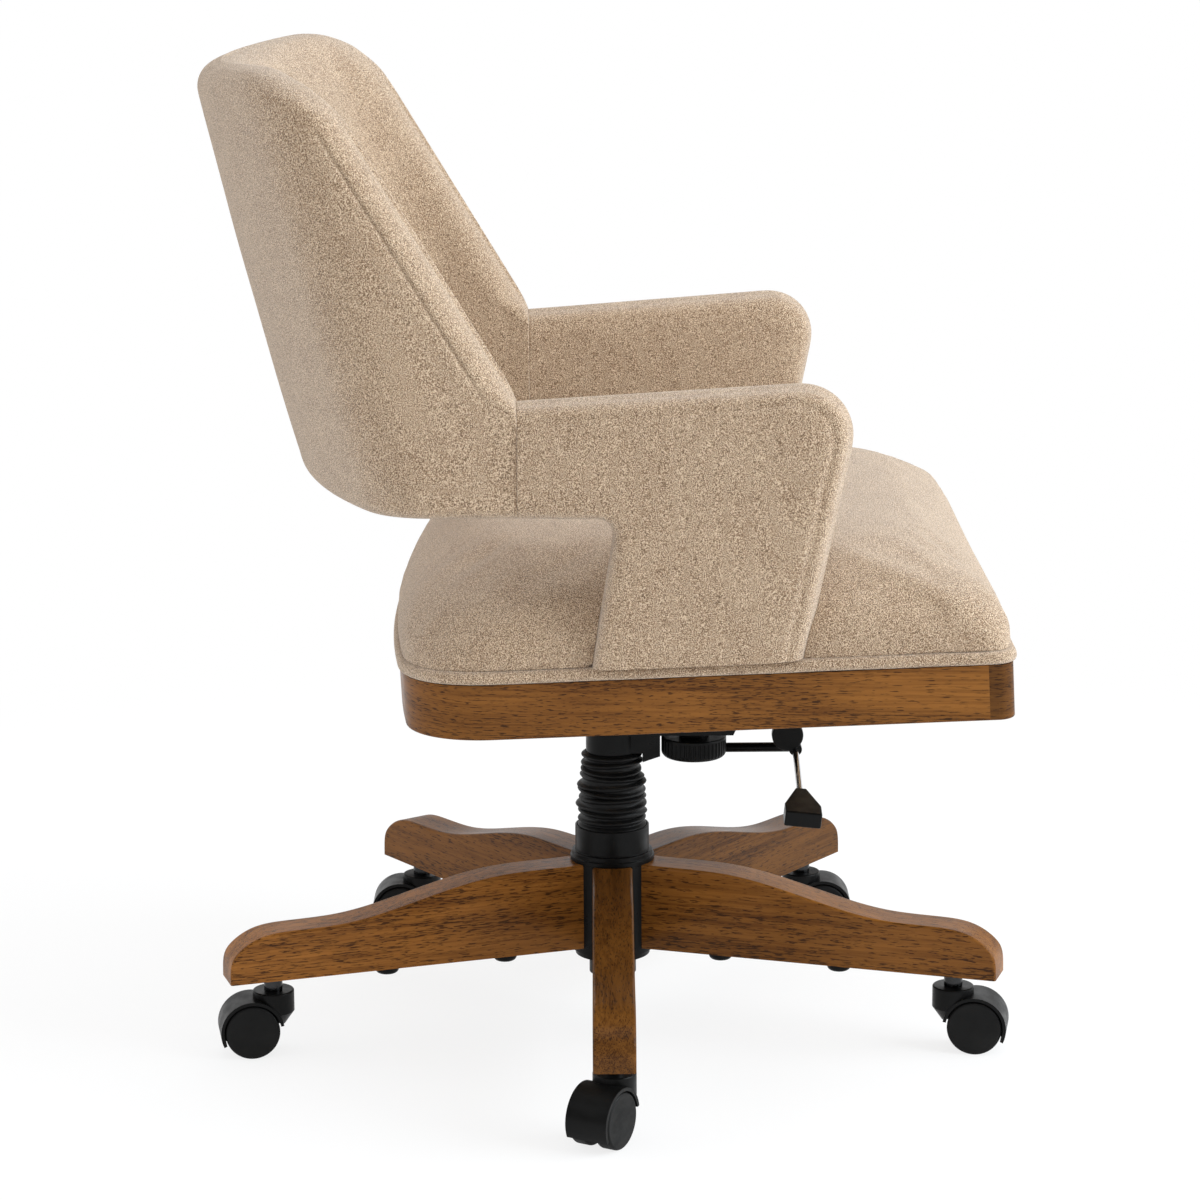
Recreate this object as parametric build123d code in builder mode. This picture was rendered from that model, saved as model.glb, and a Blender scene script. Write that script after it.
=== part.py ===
from build123d import *
import os
from math import atan, cos, degrees, hypot, pi, radians, sin, sqrt, tan

# Desk chair: star base on castors, gas column, tilt mechanism, upholstered seat, arms and back.
# Millimetres. +Z is up, the chair faces -Y, and the origin is on the floor under the column.

os.makedirs("parts", exist_ok=True)

# Clearances
SLIP = 0.05               # running fit of a shaft in its hole, radial
GAP = 0.4                 # free space beside a piece that moves

# Star base
LEG_COUNT = 5
LEG_HEADING = 180.0       # heading of the first leg, degrees from +X
LEG_THICK = 37.0
LEG_REACH = 371.0         # tip of a leg from the column axis
LEG_ROOT_R = 34.4         # inner end of a leg from the column axis
LEG_UNDER_Z = 73.0
LEG_ROOT_H = 81.0         # height of a leg at the hub
LEG_SHOULDER_BACK = 250.0
LEG_SHOULDER_DROP = 3.0
LEG_FALL_BACK = 166.0     # middle of the falling stretch, back from the tip
LEG_FALL_H = 59.5
LEG_WAIST_BACK = 109.0
LEG_WAIST_H = 48.0
LEG_KNEE_BACK = 57.0
LEG_KNEE_H = 46.0
LEG_BALL_BACK = 24.0
LEG_BALL_H = 40.5
LEG_TOE_BACK = 6.0
LEG_TOE_H = 28.0
LEG_NOSE_H = 5.0
LEG_EDGE_R = 2.5
HUB_FOOT_R = 35.0
HUB_FOOT_H = 6.0
HUB_FOOT_BELOW = 11.0     # foot plate below the undersides of the legs
SPIDER_ARM_W = 22.0
SPIDER_ARM_H = 10.0
SPIDER_ARM_PAST = 13.0    # arm beyond the castor socket
SOCKET_R = 8.5
SOCKET_H = 32.0
LEG_BOLT_RADII = (106.0, 220.0)
LEG_BOLT_R = 3.0
LEG_BOLT_LENGTH = 38.0
LEG_BOLT_HEAD_R = 11.0
LEG_BOLT_HEAD_H = 8.5

# Castors
STEM_FROM_TIP = 43.0      # castor stem back from the tip of its leg
STEM_R = 5.5
STEM_IN_SOCKET = 26.0
STEM_IN_HOOD = 14.0
WHEEL_R = 25.0
WHEEL_W = 15.0
WHEEL_EDGE_R = 2.5
WHEEL_BORE_DEPTH = 11.0
WHEEL_ROOM = 1.2          # free space round a wheel inside its hood
WEB_T = 9.0
HOOD_WALL = 3.0
HOOD_TOP_Z = 60.0
HOOD_BOSS_R = 19.0
HOOD_BOSS_H = 32.0
HOOD_BOSS_CUT_H = 12.0    # the boss narrows over this height
HOOD_BOSS_CUT_W = 8.5
HOOD_FRONT_RISE = 11.0    # front edge of the hood above the axle
HOOD_BACK_DROP = 25.0     # how far the hood reaches down behind the axle, degrees
HOOD_WEB_R = 13.0
AXLE_R = 3.0
TRAIL = 21.0
TRAIL_HEADINGS = (150.0, 260.0, 270.0, 90.0, 100.0)

# Lift column
LIFT_TUBE_R = 25.0
LIFT_TUBE_WALL = 2.0
LIFT_TUBE_TOP_Z = 205.0
LIFT_FOOT_R = 22.0
LIFT_FOOT_Z = 43.0
LIFT_FLOOR = 6.0
BEARING_R = 12.0
BEARING_H = 6.0
ROD_R = 5.0
ROD_COLLAR_R = 9.0
ROD_COLLAR_H = 6.0
PISTON_Z = 222.0
PISTON_H = 14.0
CYLINDER_R = 14.0
CYLINDER_WALL = 1.5
CYLINDER_LOW_Z = 96.0
CYLINDER_TOP_Z = 306.0
CYLINDER_CAP = 12.0
BUSH_H = 40.0
BUSH_LIP_H = 2.5
PIN_R = 3.0
PIN_PROUD = 6.0
PIN_LENGTH = 24.0

# Collar and boot on the hub
COLLAR_FLANGE_R = 39.4
COLLAR_STEP_R = 37.6
COLLAR_STEP_H = 4.5
CUP_R = 34.6
CUP_WALL = 1.4
CUP_TOP_Z = 187.0
BOOT_TOP_Z = 258.0
BOOT_WIDE_R = 32.4
BOOT_NECK_R = 28.4
BOOT_RIBS = 14
BOOT_RIB_DEPTH = 3.0
BOOT_SKIN = 1.2
BOOT_WIDE_SHARE = 0.62    # share of the ribs that keep the full width

# Tilt mechanism
NECK_R = 24.0
NECK_LOW_Z = 250.0
GUSSET_W = 32.0
GUSSET_FRONT_Y = -45.0
GUSSET_RISE = 5.5
HOUSING_W = 84.0
HOUSING_WALL = 3.0
HOUSING_FLOOR_Z = 282.0
HOUSING_SIDE_H = 36.0
HOUSING_REAR_Y = 38.0
HOUSING_FRONT_Y = -112.0
TILT_Y = -118.0
TILT_Z = 325.0
TILT_PIN_R = 6.0
TILT_NOSE_R = 14.0
TILT_HEAD_R = 10.0
TILT_HEAD_T = 4.0
CHEEK_T = 3.0
CHEEK_SIDE_GAP = 0.9
CHEEK_EYE_R = 12.0
CHEEK_TOP_W = 58.0
KNOB_Y = -76.7
KNOB_R = 30.3
KNOB_LOW_Z = 252.0
KNOB_H = 20.0
KNOB_ROUND = 6.0
KNOB_FLUTES = 44
KNOB_FLUTE_R = 1.3
KNOB_BOSS_R = 14.0
TENSION_BOLT_R = 5.0
TENSION_BOLT_TOP_Z = 330.0
NUT_H = 7.0
NUT_D = 36.0
SPRING_R = 19.0
SPRING_WALL = 5.0

# Height lever
LEVER_Y = -34.0
LEVER_Z = 296.0
LEVER_SHAFT_R = 4.0
LEVER_BAR_R = 4.5
LEVER_OUT_X = 50.0
LEVER_DROP_Y = -66.0
LEVER_DROP_Z = 252.0
LEVER_BEND_X = 37.0
LEVER_BEND_Y = -101.0
LEVER_BEND_Z = 250.0
LEVER_BEND_R = 12.0
FINGER_W = 12.0
FINGER_T = 5.0
LEVER_BOSS_X = -6.0       # inner face of the round boss
LEVER_BOSS_Y = -163.4
LEVER_BOSS_Z = 275.0
LEVER_BOSS_R = 14.6
LEVER_BOSS_T = 12.0
LEVER_BAR_BELOW = 13.6    # bar and rod below the middle of the boss
LEVER_BAR_BESIDE = 7.4
LEVER_LUG_R = 6.0
LEVER_ROD_R = 3.0
LEVER_ROD_LENGTH = 117.0
LEVER_ROD_IN_BOSS = 8.0
LEVER_ROD_SLOPE = 11.4
LEVER_ROD_TURN = -0.3
PADDLE_LENGTH = 57.0
PADDLE_W = 33.0
PADDLE_NECK_W = 10.0
PADDLE_TAPER = 37.0
PADDLE_T = 14.5
PADDLE_SLOPE = 7.6
PADDLE_ROLL = 6.0         # turned about its own length
PADDLE_ON_ROD = 20.0
PADDLE_EDGE_R = 1.6

# Seat frame, on a plane that rises to the front
SEAT_PITCH = 2.8
RAIL_BOTTOM_Z = 349.7     # underside of the rail over the column axis
RAIL_H = 48.0
RAIL_T = 22.0
RAIL_EDGE_R = 2.0
SEAT_FRONT = 340.0
SEAT_FRONT_HALF_W = 320.0
SEAT_REAR = 192.0
SEAT_NARROWING = 27.0     # half width lost from the front to the rear
SEAT_REAR_BOW = 22.0
SEAT_FRONT_CORNER_R = 14.0
SEAT_REAR_CORNER_R = 82.0
WELT_H = 12.0
WELT_IN = 20.0
WELT_PROUD = 3.0
WELT_ROUND = 4.5
CROSS_RAIL_T = 28.0
CROSS_RAIL_W = 70.0
CROSS_FRONT_V = -150.0
CROSS_REAR_V = 45.0
BLOCK_REACH = 75.0
BLOCK_H = 40.0
PLATE_T = 3.0
PLATE_HALF_W = 95.0
PLATE_MARGIN = 35.0
PLATE_BOLT_HALF_X = 75.0
PLATE_BOLT_R = 4.0
PLATE_BOLT_LENGTH = 22.0
BOLT_HEAD_R = 6.5
BOLT_HEAD_H = 5.0

# Seat cushion: height above the rail's underside, inset of the sides, inset of the front
CUSHION_RINGS = (
    (0.0, 3.0, 3.0),
    (20.0, -2.0, -2.0),
    (48.0, 5.0, 9.0),
    (68.0, 19.0, 36.0),
    (84.0, 46.0, 84.0),
    (93.0, 88.0, 132.0),
    (98.0, 150.0, 196.0),
)
CUSHION_ROUND = 60.0      # extra corner radius at the crown

# Back: a bent panel that leans back
BACK_LOW_Z = 537.0
BACK_TOP_Z = 911.0
BACK_TOP_FALL = 18.0      # top edge falls towards the rear
BACK_RECLINE = 14.3
BACK_NARROWER = 10.0      # half width less than the front of the seat
BACK_REAR_Y = 278.0       # rear face at the lower edge
BACK_BOW_R = 575.0
BACK_CORNER_R = 65.0
BACK_THICK = 56.0
BACK_INNER_CORNER_R = 70.0
BACK_JOINT_Y = 78.0       # where the arms meet the back
WING_TOP_Y = 209.0
WING_TOP_Z = 848.0
WING_TOP_R = 75.0
BACK_EDGE_R = 17.0
BACK_LOW_EDGE_R = 12.0
PANEL_T = 14.0
PANEL_INSET = 20.0
SHELL_T = 12.0

# Arms
ARM_THICK = 52.0
ARM_JOINT_TOP_Z = 631.0
ARM_FRONT_Y = -204.0
ARM_FRONT_TOP_Z = 646.0
ARM_FRONT_R = 40.0
ARM_FOOT_FRONT_Y = -160.0
ARM_FOOT_REAR_Y = 17.0
ARM_POST_REAR_Y = 2.0
ARM_NOOK_R = 9.0
ARM_EDGE_R = 12.0
ARM_FRAME_T = 24.0
ARM_FRAME_INSET = 15.0
ARM_BOLT_V = (-120.0, -30.0)
ARM_BOLT_R = 4.0
ARM_BOLT_IN_ARM = 40.0
ARM_BOLT_HEAD_R = 7.0
ARM_BOLT_HEAD_H = 6.0
ARM_BOLT_SUNK = 8.0

BOTTOM = (Align.CENTER, Align.CENTER, Align.MIN)
LEG_ANGLES = [LEG_HEADING + 360.0 / LEG_COUNT * n for n in range(LEG_COUNT)]
LEG_TOP_Z = LEG_UNDER_Z + LEG_ROOT_H
STEM_CIRCLE_R = LEG_REACH - STEM_FROM_TIP
SPIDER_ARM_END_R = STEM_CIRCLE_R + SPIDER_ARM_PAST
HUB_FOOT_Z = LEG_UNDER_Z - HUB_FOOT_BELOW
LIFT_BORE_R = LIFT_TUBE_R - LIFT_TUBE_WALL
CASTOR_HALF_W = WEB_T / 2 + GAP + WHEEL_W
SEAT_SIDE = SEAT_FRONT + SEAT_REAR - SEAT_REAR_BOW
SEAT_TAPER = degrees(atan(SEAT_NARROWING / SEAT_SIDE))
BACK_HALF_W = SEAT_FRONT_HALF_W - BACK_NARROWER
SEAT_NORMAL = (0, sin(radians(SEAT_PITCH)), cos(radians(SEAT_PITCH)))
SEAT = Plane(origin=(0, 0, RAIL_BOTTOM_Z), x_dir=(1, 0, 0), z_dir=SEAT_NORMAL)
SEAT_UP = Axis((0, 0, RAIL_BOTTOM_Z), SEAT_NORMAL)
PLATE_TOP_H = RAIL_H - CROSS_RAIL_T
PLATE_LOW_H = PLATE_TOP_H - PLATE_T
FOOT_H = RAIL_H + WELT_H


def finish(builder, name):
    """Names a finished piece and writes its file."""
    builder.part.label = name
    export_step(builder.part, f"parts/{name}.step")


def disc(radius, low, high, at=(0, 0), mode=Mode.ADD):
    """Upright cylinder between two heights."""
    with Locations((at[0], at[1], low)):
        Cylinder(radius, high - low, align=BOTTOM, mode=mode)


def upright(heading, at=(0, 0)):
    """Vertical plane: its x runs along a heading, its y is height."""
    turn = radians(heading)
    return Plane(origin=(at[0], at[1], 0), x_dir=(cos(turn), sin(turn), 0), z_dir=(sin(turn), -cos(turn), 0))


def polar(radius, heading):
    """Point in plan on a circle round the column."""
    return (radius * cos(radians(heading)), radius * sin(radians(heading)))


def seat_half_width(v):
    """Half width of the seat rail at a distance v behind the column, on the seat plane."""
    return SEAT_FRONT_HALF_W - (v + SEAT_FRONT) * tan(radians(SEAT_TAPER))


def seat_z(height, y):
    """World height of a level of the seat plane at a world y."""
    return RAIL_BOTTOM_Z + height / cos(radians(SEAT_PITCH)) - tan(radians(SEAT_PITCH)) * y


# Steel spider: hub, five arms under the legs, castor sockets
hub_r = hypot(LEG_ROOT_R, LEG_THICK / 2)
with BuildPart() as spider:
    disc(hub_r, LEG_UNDER_Z, LEG_TOP_Z)
    for heading in LEG_ANGLES:
        with BuildSketch(upright(heading)):
            with Locations((LEG_ROOT_R, LEG_UNDER_Z)):
                Rectangle(hub_r, LEG_ROOT_H, align=(Align.MIN, Align.MIN))
        extrude(amount=hub_r, both=True, mode=Mode.SUBTRACT)
    for heading in LEG_ANGLES:
        with BuildSketch(upright(heading)):
            with Locations((LIFT_TUBE_R, LEG_UNDER_Z)):
                Rectangle(SPIDER_ARM_END_R - LIFT_TUBE_R, SPIDER_ARM_H, align=(Align.MIN, Align.MIN))
        extrude(amount=SPIDER_ARM_W / 2, both=True)
        socket_at = polar(STEM_CIRCLE_R, heading)
        disc(SOCKET_R, LEG_UNDER_Z, LEG_UNDER_Z + SOCKET_H, socket_at)
        disc(STEM_R, LEG_UNDER_Z, LEG_UNDER_Z + STEM_IN_SOCKET, socket_at, Mode.SUBTRACT)
        for radius in LEG_BOLT_RADII:
            disc(LEG_BOLT_R, LEG_UNDER_Z, LEG_UNDER_Z + SPIDER_ARM_H, polar(radius, heading), Mode.SUBTRACT)
    disc(hub_r, HUB_FOOT_Z + HUB_FOOT_H, LEG_UNDER_Z)
    disc(HUB_FOOT_R, HUB_FOOT_Z, HUB_FOOT_Z + HUB_FOOT_H)
    disc(LIFT_TUBE_R, HUB_FOOT_Z, LEG_TOP_Z, mode=Mode.SUBTRACT)
finish(spider, "base_spider")

# Wooden legs
for number, heading in enumerate(LEG_ANGLES, 1):
    with BuildPart() as leg:
        with BuildSketch(upright(heading)):
            with BuildLine():
                crest = Spline(
                    (LEG_ROOT_R, LEG_TOP_Z),
                    (LEG_REACH - LEG_SHOULDER_BACK, LEG_TOP_Z - LEG_SHOULDER_DROP),
                    (LEG_REACH - LEG_FALL_BACK, LEG_UNDER_Z + LEG_FALL_H),
                    (LEG_REACH - LEG_WAIST_BACK, LEG_UNDER_Z + LEG_WAIST_H),
                    (LEG_REACH - LEG_KNEE_BACK, LEG_UNDER_Z + LEG_KNEE_H),
                    (LEG_REACH - LEG_BALL_BACK, LEG_UNDER_Z + LEG_BALL_H),
                    (LEG_REACH - LEG_TOE_BACK, LEG_UNDER_Z + LEG_TOE_H),
                    (LEG_REACH, LEG_UNDER_Z + LEG_NOSE_H),
                    tangents=[(LEG_REACH - LEG_SHOULDER_BACK - LEG_ROOT_R, -LEG_SHOULDER_DROP), (0, -1)],
                )
                Polyline(crest @ 1, (LEG_REACH, LEG_UNDER_Z), (LEG_ROOT_R, LEG_UNDER_Z), crest @ 0)
            make_face()
        extrude(amount=LEG_THICK / 2, both=True)
        fillet(leg.edges().filter_by(GeomType.BSPLINE), LEG_EDGE_R)
        with BuildSketch(upright(heading)):
            with Locations((LEG_ROOT_R, LEG_UNDER_Z)):
                Rectangle(SPIDER_ARM_END_R - LEG_ROOT_R, SPIDER_ARM_H, align=(Align.MIN, Align.MIN))
        extrude(amount=SPIDER_ARM_W / 2, both=True, mode=Mode.SUBTRACT)
        disc(SOCKET_R, LEG_UNDER_Z, LEG_UNDER_Z + SOCKET_H, polar(STEM_CIRCLE_R, heading), Mode.SUBTRACT)
        for radius in LEG_BOLT_RADII:
            bolt_at = polar(radius, heading)
            disc(LEG_BOLT_R, LEG_UNDER_Z, LEG_UNDER_Z + LEG_BOLT_LENGTH, bolt_at, Mode.SUBTRACT)
    finish(leg, f"leg_{number}")

# Fasteners under the legs
with BuildPart() as leg_bolts:
    for heading in LEG_ANGLES:
        for radius in LEG_BOLT_RADII:
            disc(LEG_BOLT_R, LEG_UNDER_Z, LEG_UNDER_Z + LEG_BOLT_LENGTH, polar(radius, heading))
            disc(LEG_BOLT_HEAD_R, LEG_UNDER_Z - LEG_BOLT_HEAD_H, LEG_UNDER_Z, polar(radius, heading))
    fillet(leg_bolts.faces().sort_by(Axis.Z)[:LEG_COUNT * len(LEG_BOLT_RADII)].edges(), LEG_BOLT_HEAD_H / 2)
finish(leg_bolts, "leg_bolts")

# Castor stems
with BuildPart() as stems:
    for heading in LEG_ANGLES:
        disc(STEM_R, HOOD_TOP_Z - STEM_IN_HOOD, LEG_UNDER_Z + STEM_IN_SOCKET, polar(STEM_CIRCLE_R, heading))
        disc(SOCKET_R, HOOD_TOP_Z + GAP, LEG_UNDER_Z, polar(STEM_CIRCLE_R, heading))
finish(stems, "castor_stems")

# Castors: hood, axle and two wheels each
for number, (heading, trail) in enumerate(zip(LEG_ANGLES, TRAIL_HEADINGS), 1):
    stem_at = polar(STEM_CIRCLE_R, heading)
    side = upright(trail, stem_at)
    hood_r = WHEEL_R + WHEEL_ROOM + HOOD_WALL
    back_edge = (TRAIL + 2 * hood_r, WHEEL_R - 2 * hood_r * tan(radians(HOOD_BACK_DROP)))
    with BuildPart() as hood:
        with BuildSketch(side):
            with Locations((TRAIL, WHEEL_R)):
                Circle(hood_r)
            with BuildLine():
                Polyline(
                    (TRAIL, WHEEL_R),
                    back_edge,
                    (back_edge[0], -hood_r),
                    (TRAIL - 2 * hood_r, -hood_r),
                    (TRAIL - 2 * hood_r, WHEEL_R + HOOD_FRONT_RISE),
                    close=True,
                )
            make_face(mode=Mode.SUBTRACT)
        extrude(amount=CASTOR_HALF_W, both=True)
        with BuildSketch(side):
            with Locations((TRAIL, WHEEL_R)):
                Circle(HOOD_WEB_R)
        extrude(amount=WEB_T / 2, both=True)
        with BuildSketch(side):
            with BuildLine():
                Polyline(
                    (0, HOOD_TOP_Z - HOOD_BOSS_H),
                    (HOOD_BOSS_R - HOOD_BOSS_CUT_W, HOOD_TOP_Z - HOOD_BOSS_H),
                    (HOOD_BOSS_R, HOOD_TOP_Z - HOOD_BOSS_H + HOOD_BOSS_CUT_H),
                    (HOOD_BOSS_R, HOOD_TOP_Z),
                    (0, HOOD_TOP_Z),
                    close=True,
                )
            make_face()
        revolve(axis=Axis((*stem_at, 0), (0, 0, 1)))
        fillet(hood.edges().filter_by(GeomType.CIRCLE).group_by(Axis.Z)[-1], HOOD_WALL / 2)
        for way in (1, -1):
            with BuildSketch(side.offset(way * WEB_T / 2)):
                with Locations((TRAIL, WHEEL_R)):
                    Circle(WHEEL_R + WHEEL_ROOM)
            extrude(amount=way * 2 * WHEEL_W, mode=Mode.SUBTRACT)
        with BuildSketch(side):
            with Locations((TRAIL, WHEEL_R)):
                Circle(AXLE_R)
        extrude(amount=WEB_T, both=True, mode=Mode.SUBTRACT)
        disc(STEM_R + SLIP, HOOD_TOP_Z - STEM_IN_HOOD - GAP, HOOD_TOP_Z, stem_at, Mode.SUBTRACT)
    finish(hood, f"castor_{number}_hood")

    with BuildPart() as axle:
        with BuildSketch(side):
            with Locations((TRAIL, WHEEL_R)):
                Circle(AXLE_R)
        extrude(amount=WEB_T / 2 + WHEEL_BORE_DEPTH, both=True)
    finish(axle, f"castor_{number}_axle")

    for way, name in ((1, "right"), (-1, "left")):
        inner = side.offset(way * (WEB_T / 2 + GAP))
        with BuildPart() as wheel:
            with BuildSketch(inner):
                with Locations((TRAIL, WHEEL_R)):
                    Circle(WHEEL_R)
            extrude(amount=way * WHEEL_W)
            fillet(wheel.edges(), WHEEL_EDGE_R)
            with BuildSketch(inner):
                with Locations((TRAIL, WHEEL_R)):
                    Circle(AXLE_R + SLIP)
            extrude(amount=way * (WHEEL_BORE_DEPTH + GAP), mode=Mode.SUBTRACT)
        finish(wheel, f"castor_{number}_wheel_{name}")

# Lift column: outer tube, bush and bearing stay with the base
with BuildPart() as outer_tube:
    disc(LIFT_TUBE_R, HUB_FOOT_Z, LIFT_TUBE_TOP_Z)
    disc(LIFT_FOOT_R, LIFT_FOOT_Z, HUB_FOOT_Z)
    disc(LIFT_FOOT_R - LIFT_TUBE_WALL, LIFT_FOOT_Z + LIFT_FLOOR, LIFT_TUBE_TOP_Z, mode=Mode.SUBTRACT)
    disc(LIFT_BORE_R, LIFT_TUBE_TOP_Z - BUSH_H, LIFT_TUBE_TOP_Z, mode=Mode.SUBTRACT)
finish(outer_tube, "lift_outer_tube")

with BuildPart() as bush:
    disc(LIFT_BORE_R, LIFT_TUBE_TOP_Z - BUSH_H, LIFT_TUBE_TOP_Z)
    disc(LIFT_TUBE_R, LIFT_TUBE_TOP_Z, LIFT_TUBE_TOP_Z + BUSH_LIP_H)
    disc(CYLINDER_R + SLIP, LIFT_TUBE_TOP_Z - BUSH_H, LIFT_TUBE_TOP_Z + BUSH_LIP_H, mode=Mode.SUBTRACT)
finish(bush, "lift_guide_bush")

bearing_low = LIFT_FOOT_Z + LIFT_FLOOR
with BuildPart() as bearing:
    disc(BEARING_R, bearing_low, bearing_low + BEARING_H)
    disc(ROD_R + SLIP, bearing_low, bearing_low + BEARING_H, mode=Mode.SUBTRACT)
finish(bearing, "lift_thrust_bearing")

# Piston rod: turns on the bearing, and the cylinder slides on it
collar_low = bearing_low + BEARING_H + GAP
with BuildPart() as rod:
    disc(ROD_R, bearing_low + GAP, PISTON_Z)
    disc(ROD_COLLAR_R, collar_low, collar_low + ROD_COLLAR_H)
    disc(CYLINDER_R - CYLINDER_WALL - SLIP, PISTON_Z, PISTON_Z + PISTON_H)
finish(rod, "lift_piston_rod")

with BuildPart() as cylinder:
    disc(CYLINDER_R, CYLINDER_LOW_Z, CYLINDER_TOP_Z)
    disc(
        CYLINDER_R - CYLINDER_WALL,
        CYLINDER_LOW_Z + CYLINDER_CAP,
        CYLINDER_TOP_Z - CYLINDER_CAP,
        mode=Mode.SUBTRACT,
    )
    disc(ROD_R + SLIP, CYLINDER_LOW_Z, CYLINDER_LOW_Z + CYLINDER_CAP, mode=Mode.SUBTRACT)
    disc(PIN_R + SLIP, CYLINDER_TOP_Z - CYLINDER_CAP, CYLINDER_TOP_Z, mode=Mode.SUBTRACT)
finish(cylinder, "lift_cylinder")

pin_top = CYLINDER_TOP_Z + PIN_PROUD
with BuildPart() as pin:
    disc(PIN_R, pin_top - PIN_LENGTH, pin_top)
finish(pin, "release_pin")

# Stepped collar with a cup for the boot
cup_floor = LEG_TOP_Z + 2 * COLLAR_STEP_H
with BuildPart() as collar:
    disc(COLLAR_FLANGE_R, LEG_TOP_Z, LEG_TOP_Z + COLLAR_STEP_H)
    disc(COLLAR_STEP_R, LEG_TOP_Z + COLLAR_STEP_H, cup_floor)
    disc(CUP_R, cup_floor, CUP_TOP_Z)
    fillet(collar.edges().filter_by(GeomType.CIRCLE), CUP_WALL / 2)
    disc(CUP_R - CUP_WALL, cup_floor, CUP_TOP_Z, mode=Mode.SUBTRACT)
    disc(LIFT_TUBE_R + SLIP, LEG_TOP_Z, cup_floor, mode=Mode.SUBTRACT)
finish(collar, "hub_collar")

# Ribbed boot: four circles to a rib, narrowing towards the neck
boot_low = cup_floor + GAP
rib_pitch = (BOOT_TOP_Z - boot_low) / BOOT_RIBS


def boot_peak(rib):
    """Outer radius of a rib: full width below, easing in to the neck above."""
    past = max(0.0, (rib + 0.5) / BOOT_RIBS - BOOT_WIDE_SHARE) / (1 - BOOT_WIDE_SHARE)
    return BOOT_WIDE_R - (BOOT_WIDE_R - BOOT_NECK_R) * sin(past * pi / 2)


with BuildPart() as boot:
    for rib in range(BOOT_RIBS):
        peak = boot_peak(rib)
        shape = (
            (0.0, peak - BOOT_RIB_DEPTH),
            (0.3, peak),
            (0.7, peak),
            (1.0, boot_peak(min(rib + 1, BOOT_RIBS - 1)) - BOOT_RIB_DEPTH),
        )
        for share, radius in shape[(1 if rib else 0):]:
            with BuildSketch(Plane.XY.offset(boot_low + (rib + share) * rib_pitch)):
                Circle(radius)
    loft(ruled=True)
    neck_from = boot_low + BOOT_WIDE_SHARE * BOOT_RIBS * rib_pitch
    with BuildSketch(Plane.XY.offset(boot_low)):
        Circle(BOOT_WIDE_R - BOOT_RIB_DEPTH - BOOT_SKIN)
    with BuildSketch(Plane.XY.offset(neck_from)):
        Circle(BOOT_WIDE_R - BOOT_RIB_DEPTH - BOOT_SKIN)
    with BuildSketch(Plane.XY.offset(NECK_LOW_Z - rib_pitch)):
        Circle(NECK_R + GAP)
    with BuildSketch(Plane.XY.offset(BOOT_TOP_Z)):
        Circle(NECK_R + GAP)
    loft(ruled=True, mode=Mode.SUBTRACT)
finish(boot, "column_boot")

# Tilt housing: neck on the column, open channel, front nose for the tilt pin
inner_half = HOUSING_W / 2 - HOUSING_WALL
side_top = HOUSING_FLOOR_Z + HOUSING_SIDE_H
knob_top = KNOB_LOW_Z + KNOB_H
with BuildPart() as housing:
    disc(NECK_R, NECK_LOW_Z, CYLINDER_TOP_Z)
    with BuildSketch(Plane.YZ):
        with BuildLine():
            Polyline(
                (0, BOOT_TOP_Z + GAP),
                (-BOOT_NECK_R - GAP, BOOT_TOP_Z + GAP),
                (-BOOT_NECK_R - GAP, NECK_LOW_Z),
                (GUSSET_FRONT_Y, NECK_LOW_Z + GUSSET_RISE),
                (GUSSET_FRONT_Y, HOUSING_FLOOR_Z),
                (0, HOUSING_FLOOR_Z),
                close=True,
            )
        make_face()
    extrude(amount=GUSSET_W / 2, both=True)
    with BuildSketch(Plane.XY.offset(HOUSING_FLOOR_Z)):
        with Locations((0, HOUSING_FRONT_Y)):
            Rectangle(HOUSING_W, HOUSING_REAR_Y - HOUSING_FRONT_Y, align=(Align.CENTER, Align.MIN))
    extrude(amount=HOUSING_WALL)
    with BuildSketch(Plane.XY.offset(HOUSING_FLOOR_Z)):
        with Locations((0, HOUSING_REAR_Y)):
            Rectangle(HOUSING_W, HOUSING_WALL, align=(Align.CENTER, Align.MAX))
    extrude(amount=HOUSING_SIDE_H)
    for way in (1, -1):
        with BuildSketch(Plane.YZ.offset(way * inner_half)):
            with BuildLine():
                Polyline(
                    (HOUSING_REAR_Y, HOUSING_FLOOR_Z),
                    (HOUSING_FRONT_Y, HOUSING_FLOOR_Z),
                    (TILT_Y - TILT_NOSE_R, TILT_Z),
                    (TILT_Y + TILT_NOSE_R, TILT_Z + TILT_NOSE_R / 2),
                    (KNOB_Y, side_top),
                    (HOUSING_REAR_Y, side_top),
                    close=True,
                )
            make_face()
            with Locations((TILT_Y, TILT_Z)):
                Circle(TILT_NOSE_R)
                Circle(TILT_PIN_R, mode=Mode.SUBTRACT)
            with Locations((LEVER_Y, LEVER_Z)):
                Circle(LEVER_SHAFT_R + SLIP, mode=Mode.SUBTRACT)
        extrude(amount=way * HOUSING_WALL)
    disc(KNOB_BOSS_R, knob_top + GAP, HOUSING_FLOOR_Z, (0, KNOB_Y))
    disc(TENSION_BOLT_R + SLIP, knob_top, HOUSING_FLOOR_Z + HOUSING_WALL, (0, KNOB_Y), Mode.SUBTRACT)
    disc(CYLINDER_R, NECK_LOW_Z, CYLINDER_TOP_Z, mode=Mode.SUBTRACT)
finish(housing, "tilt_housing")

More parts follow.
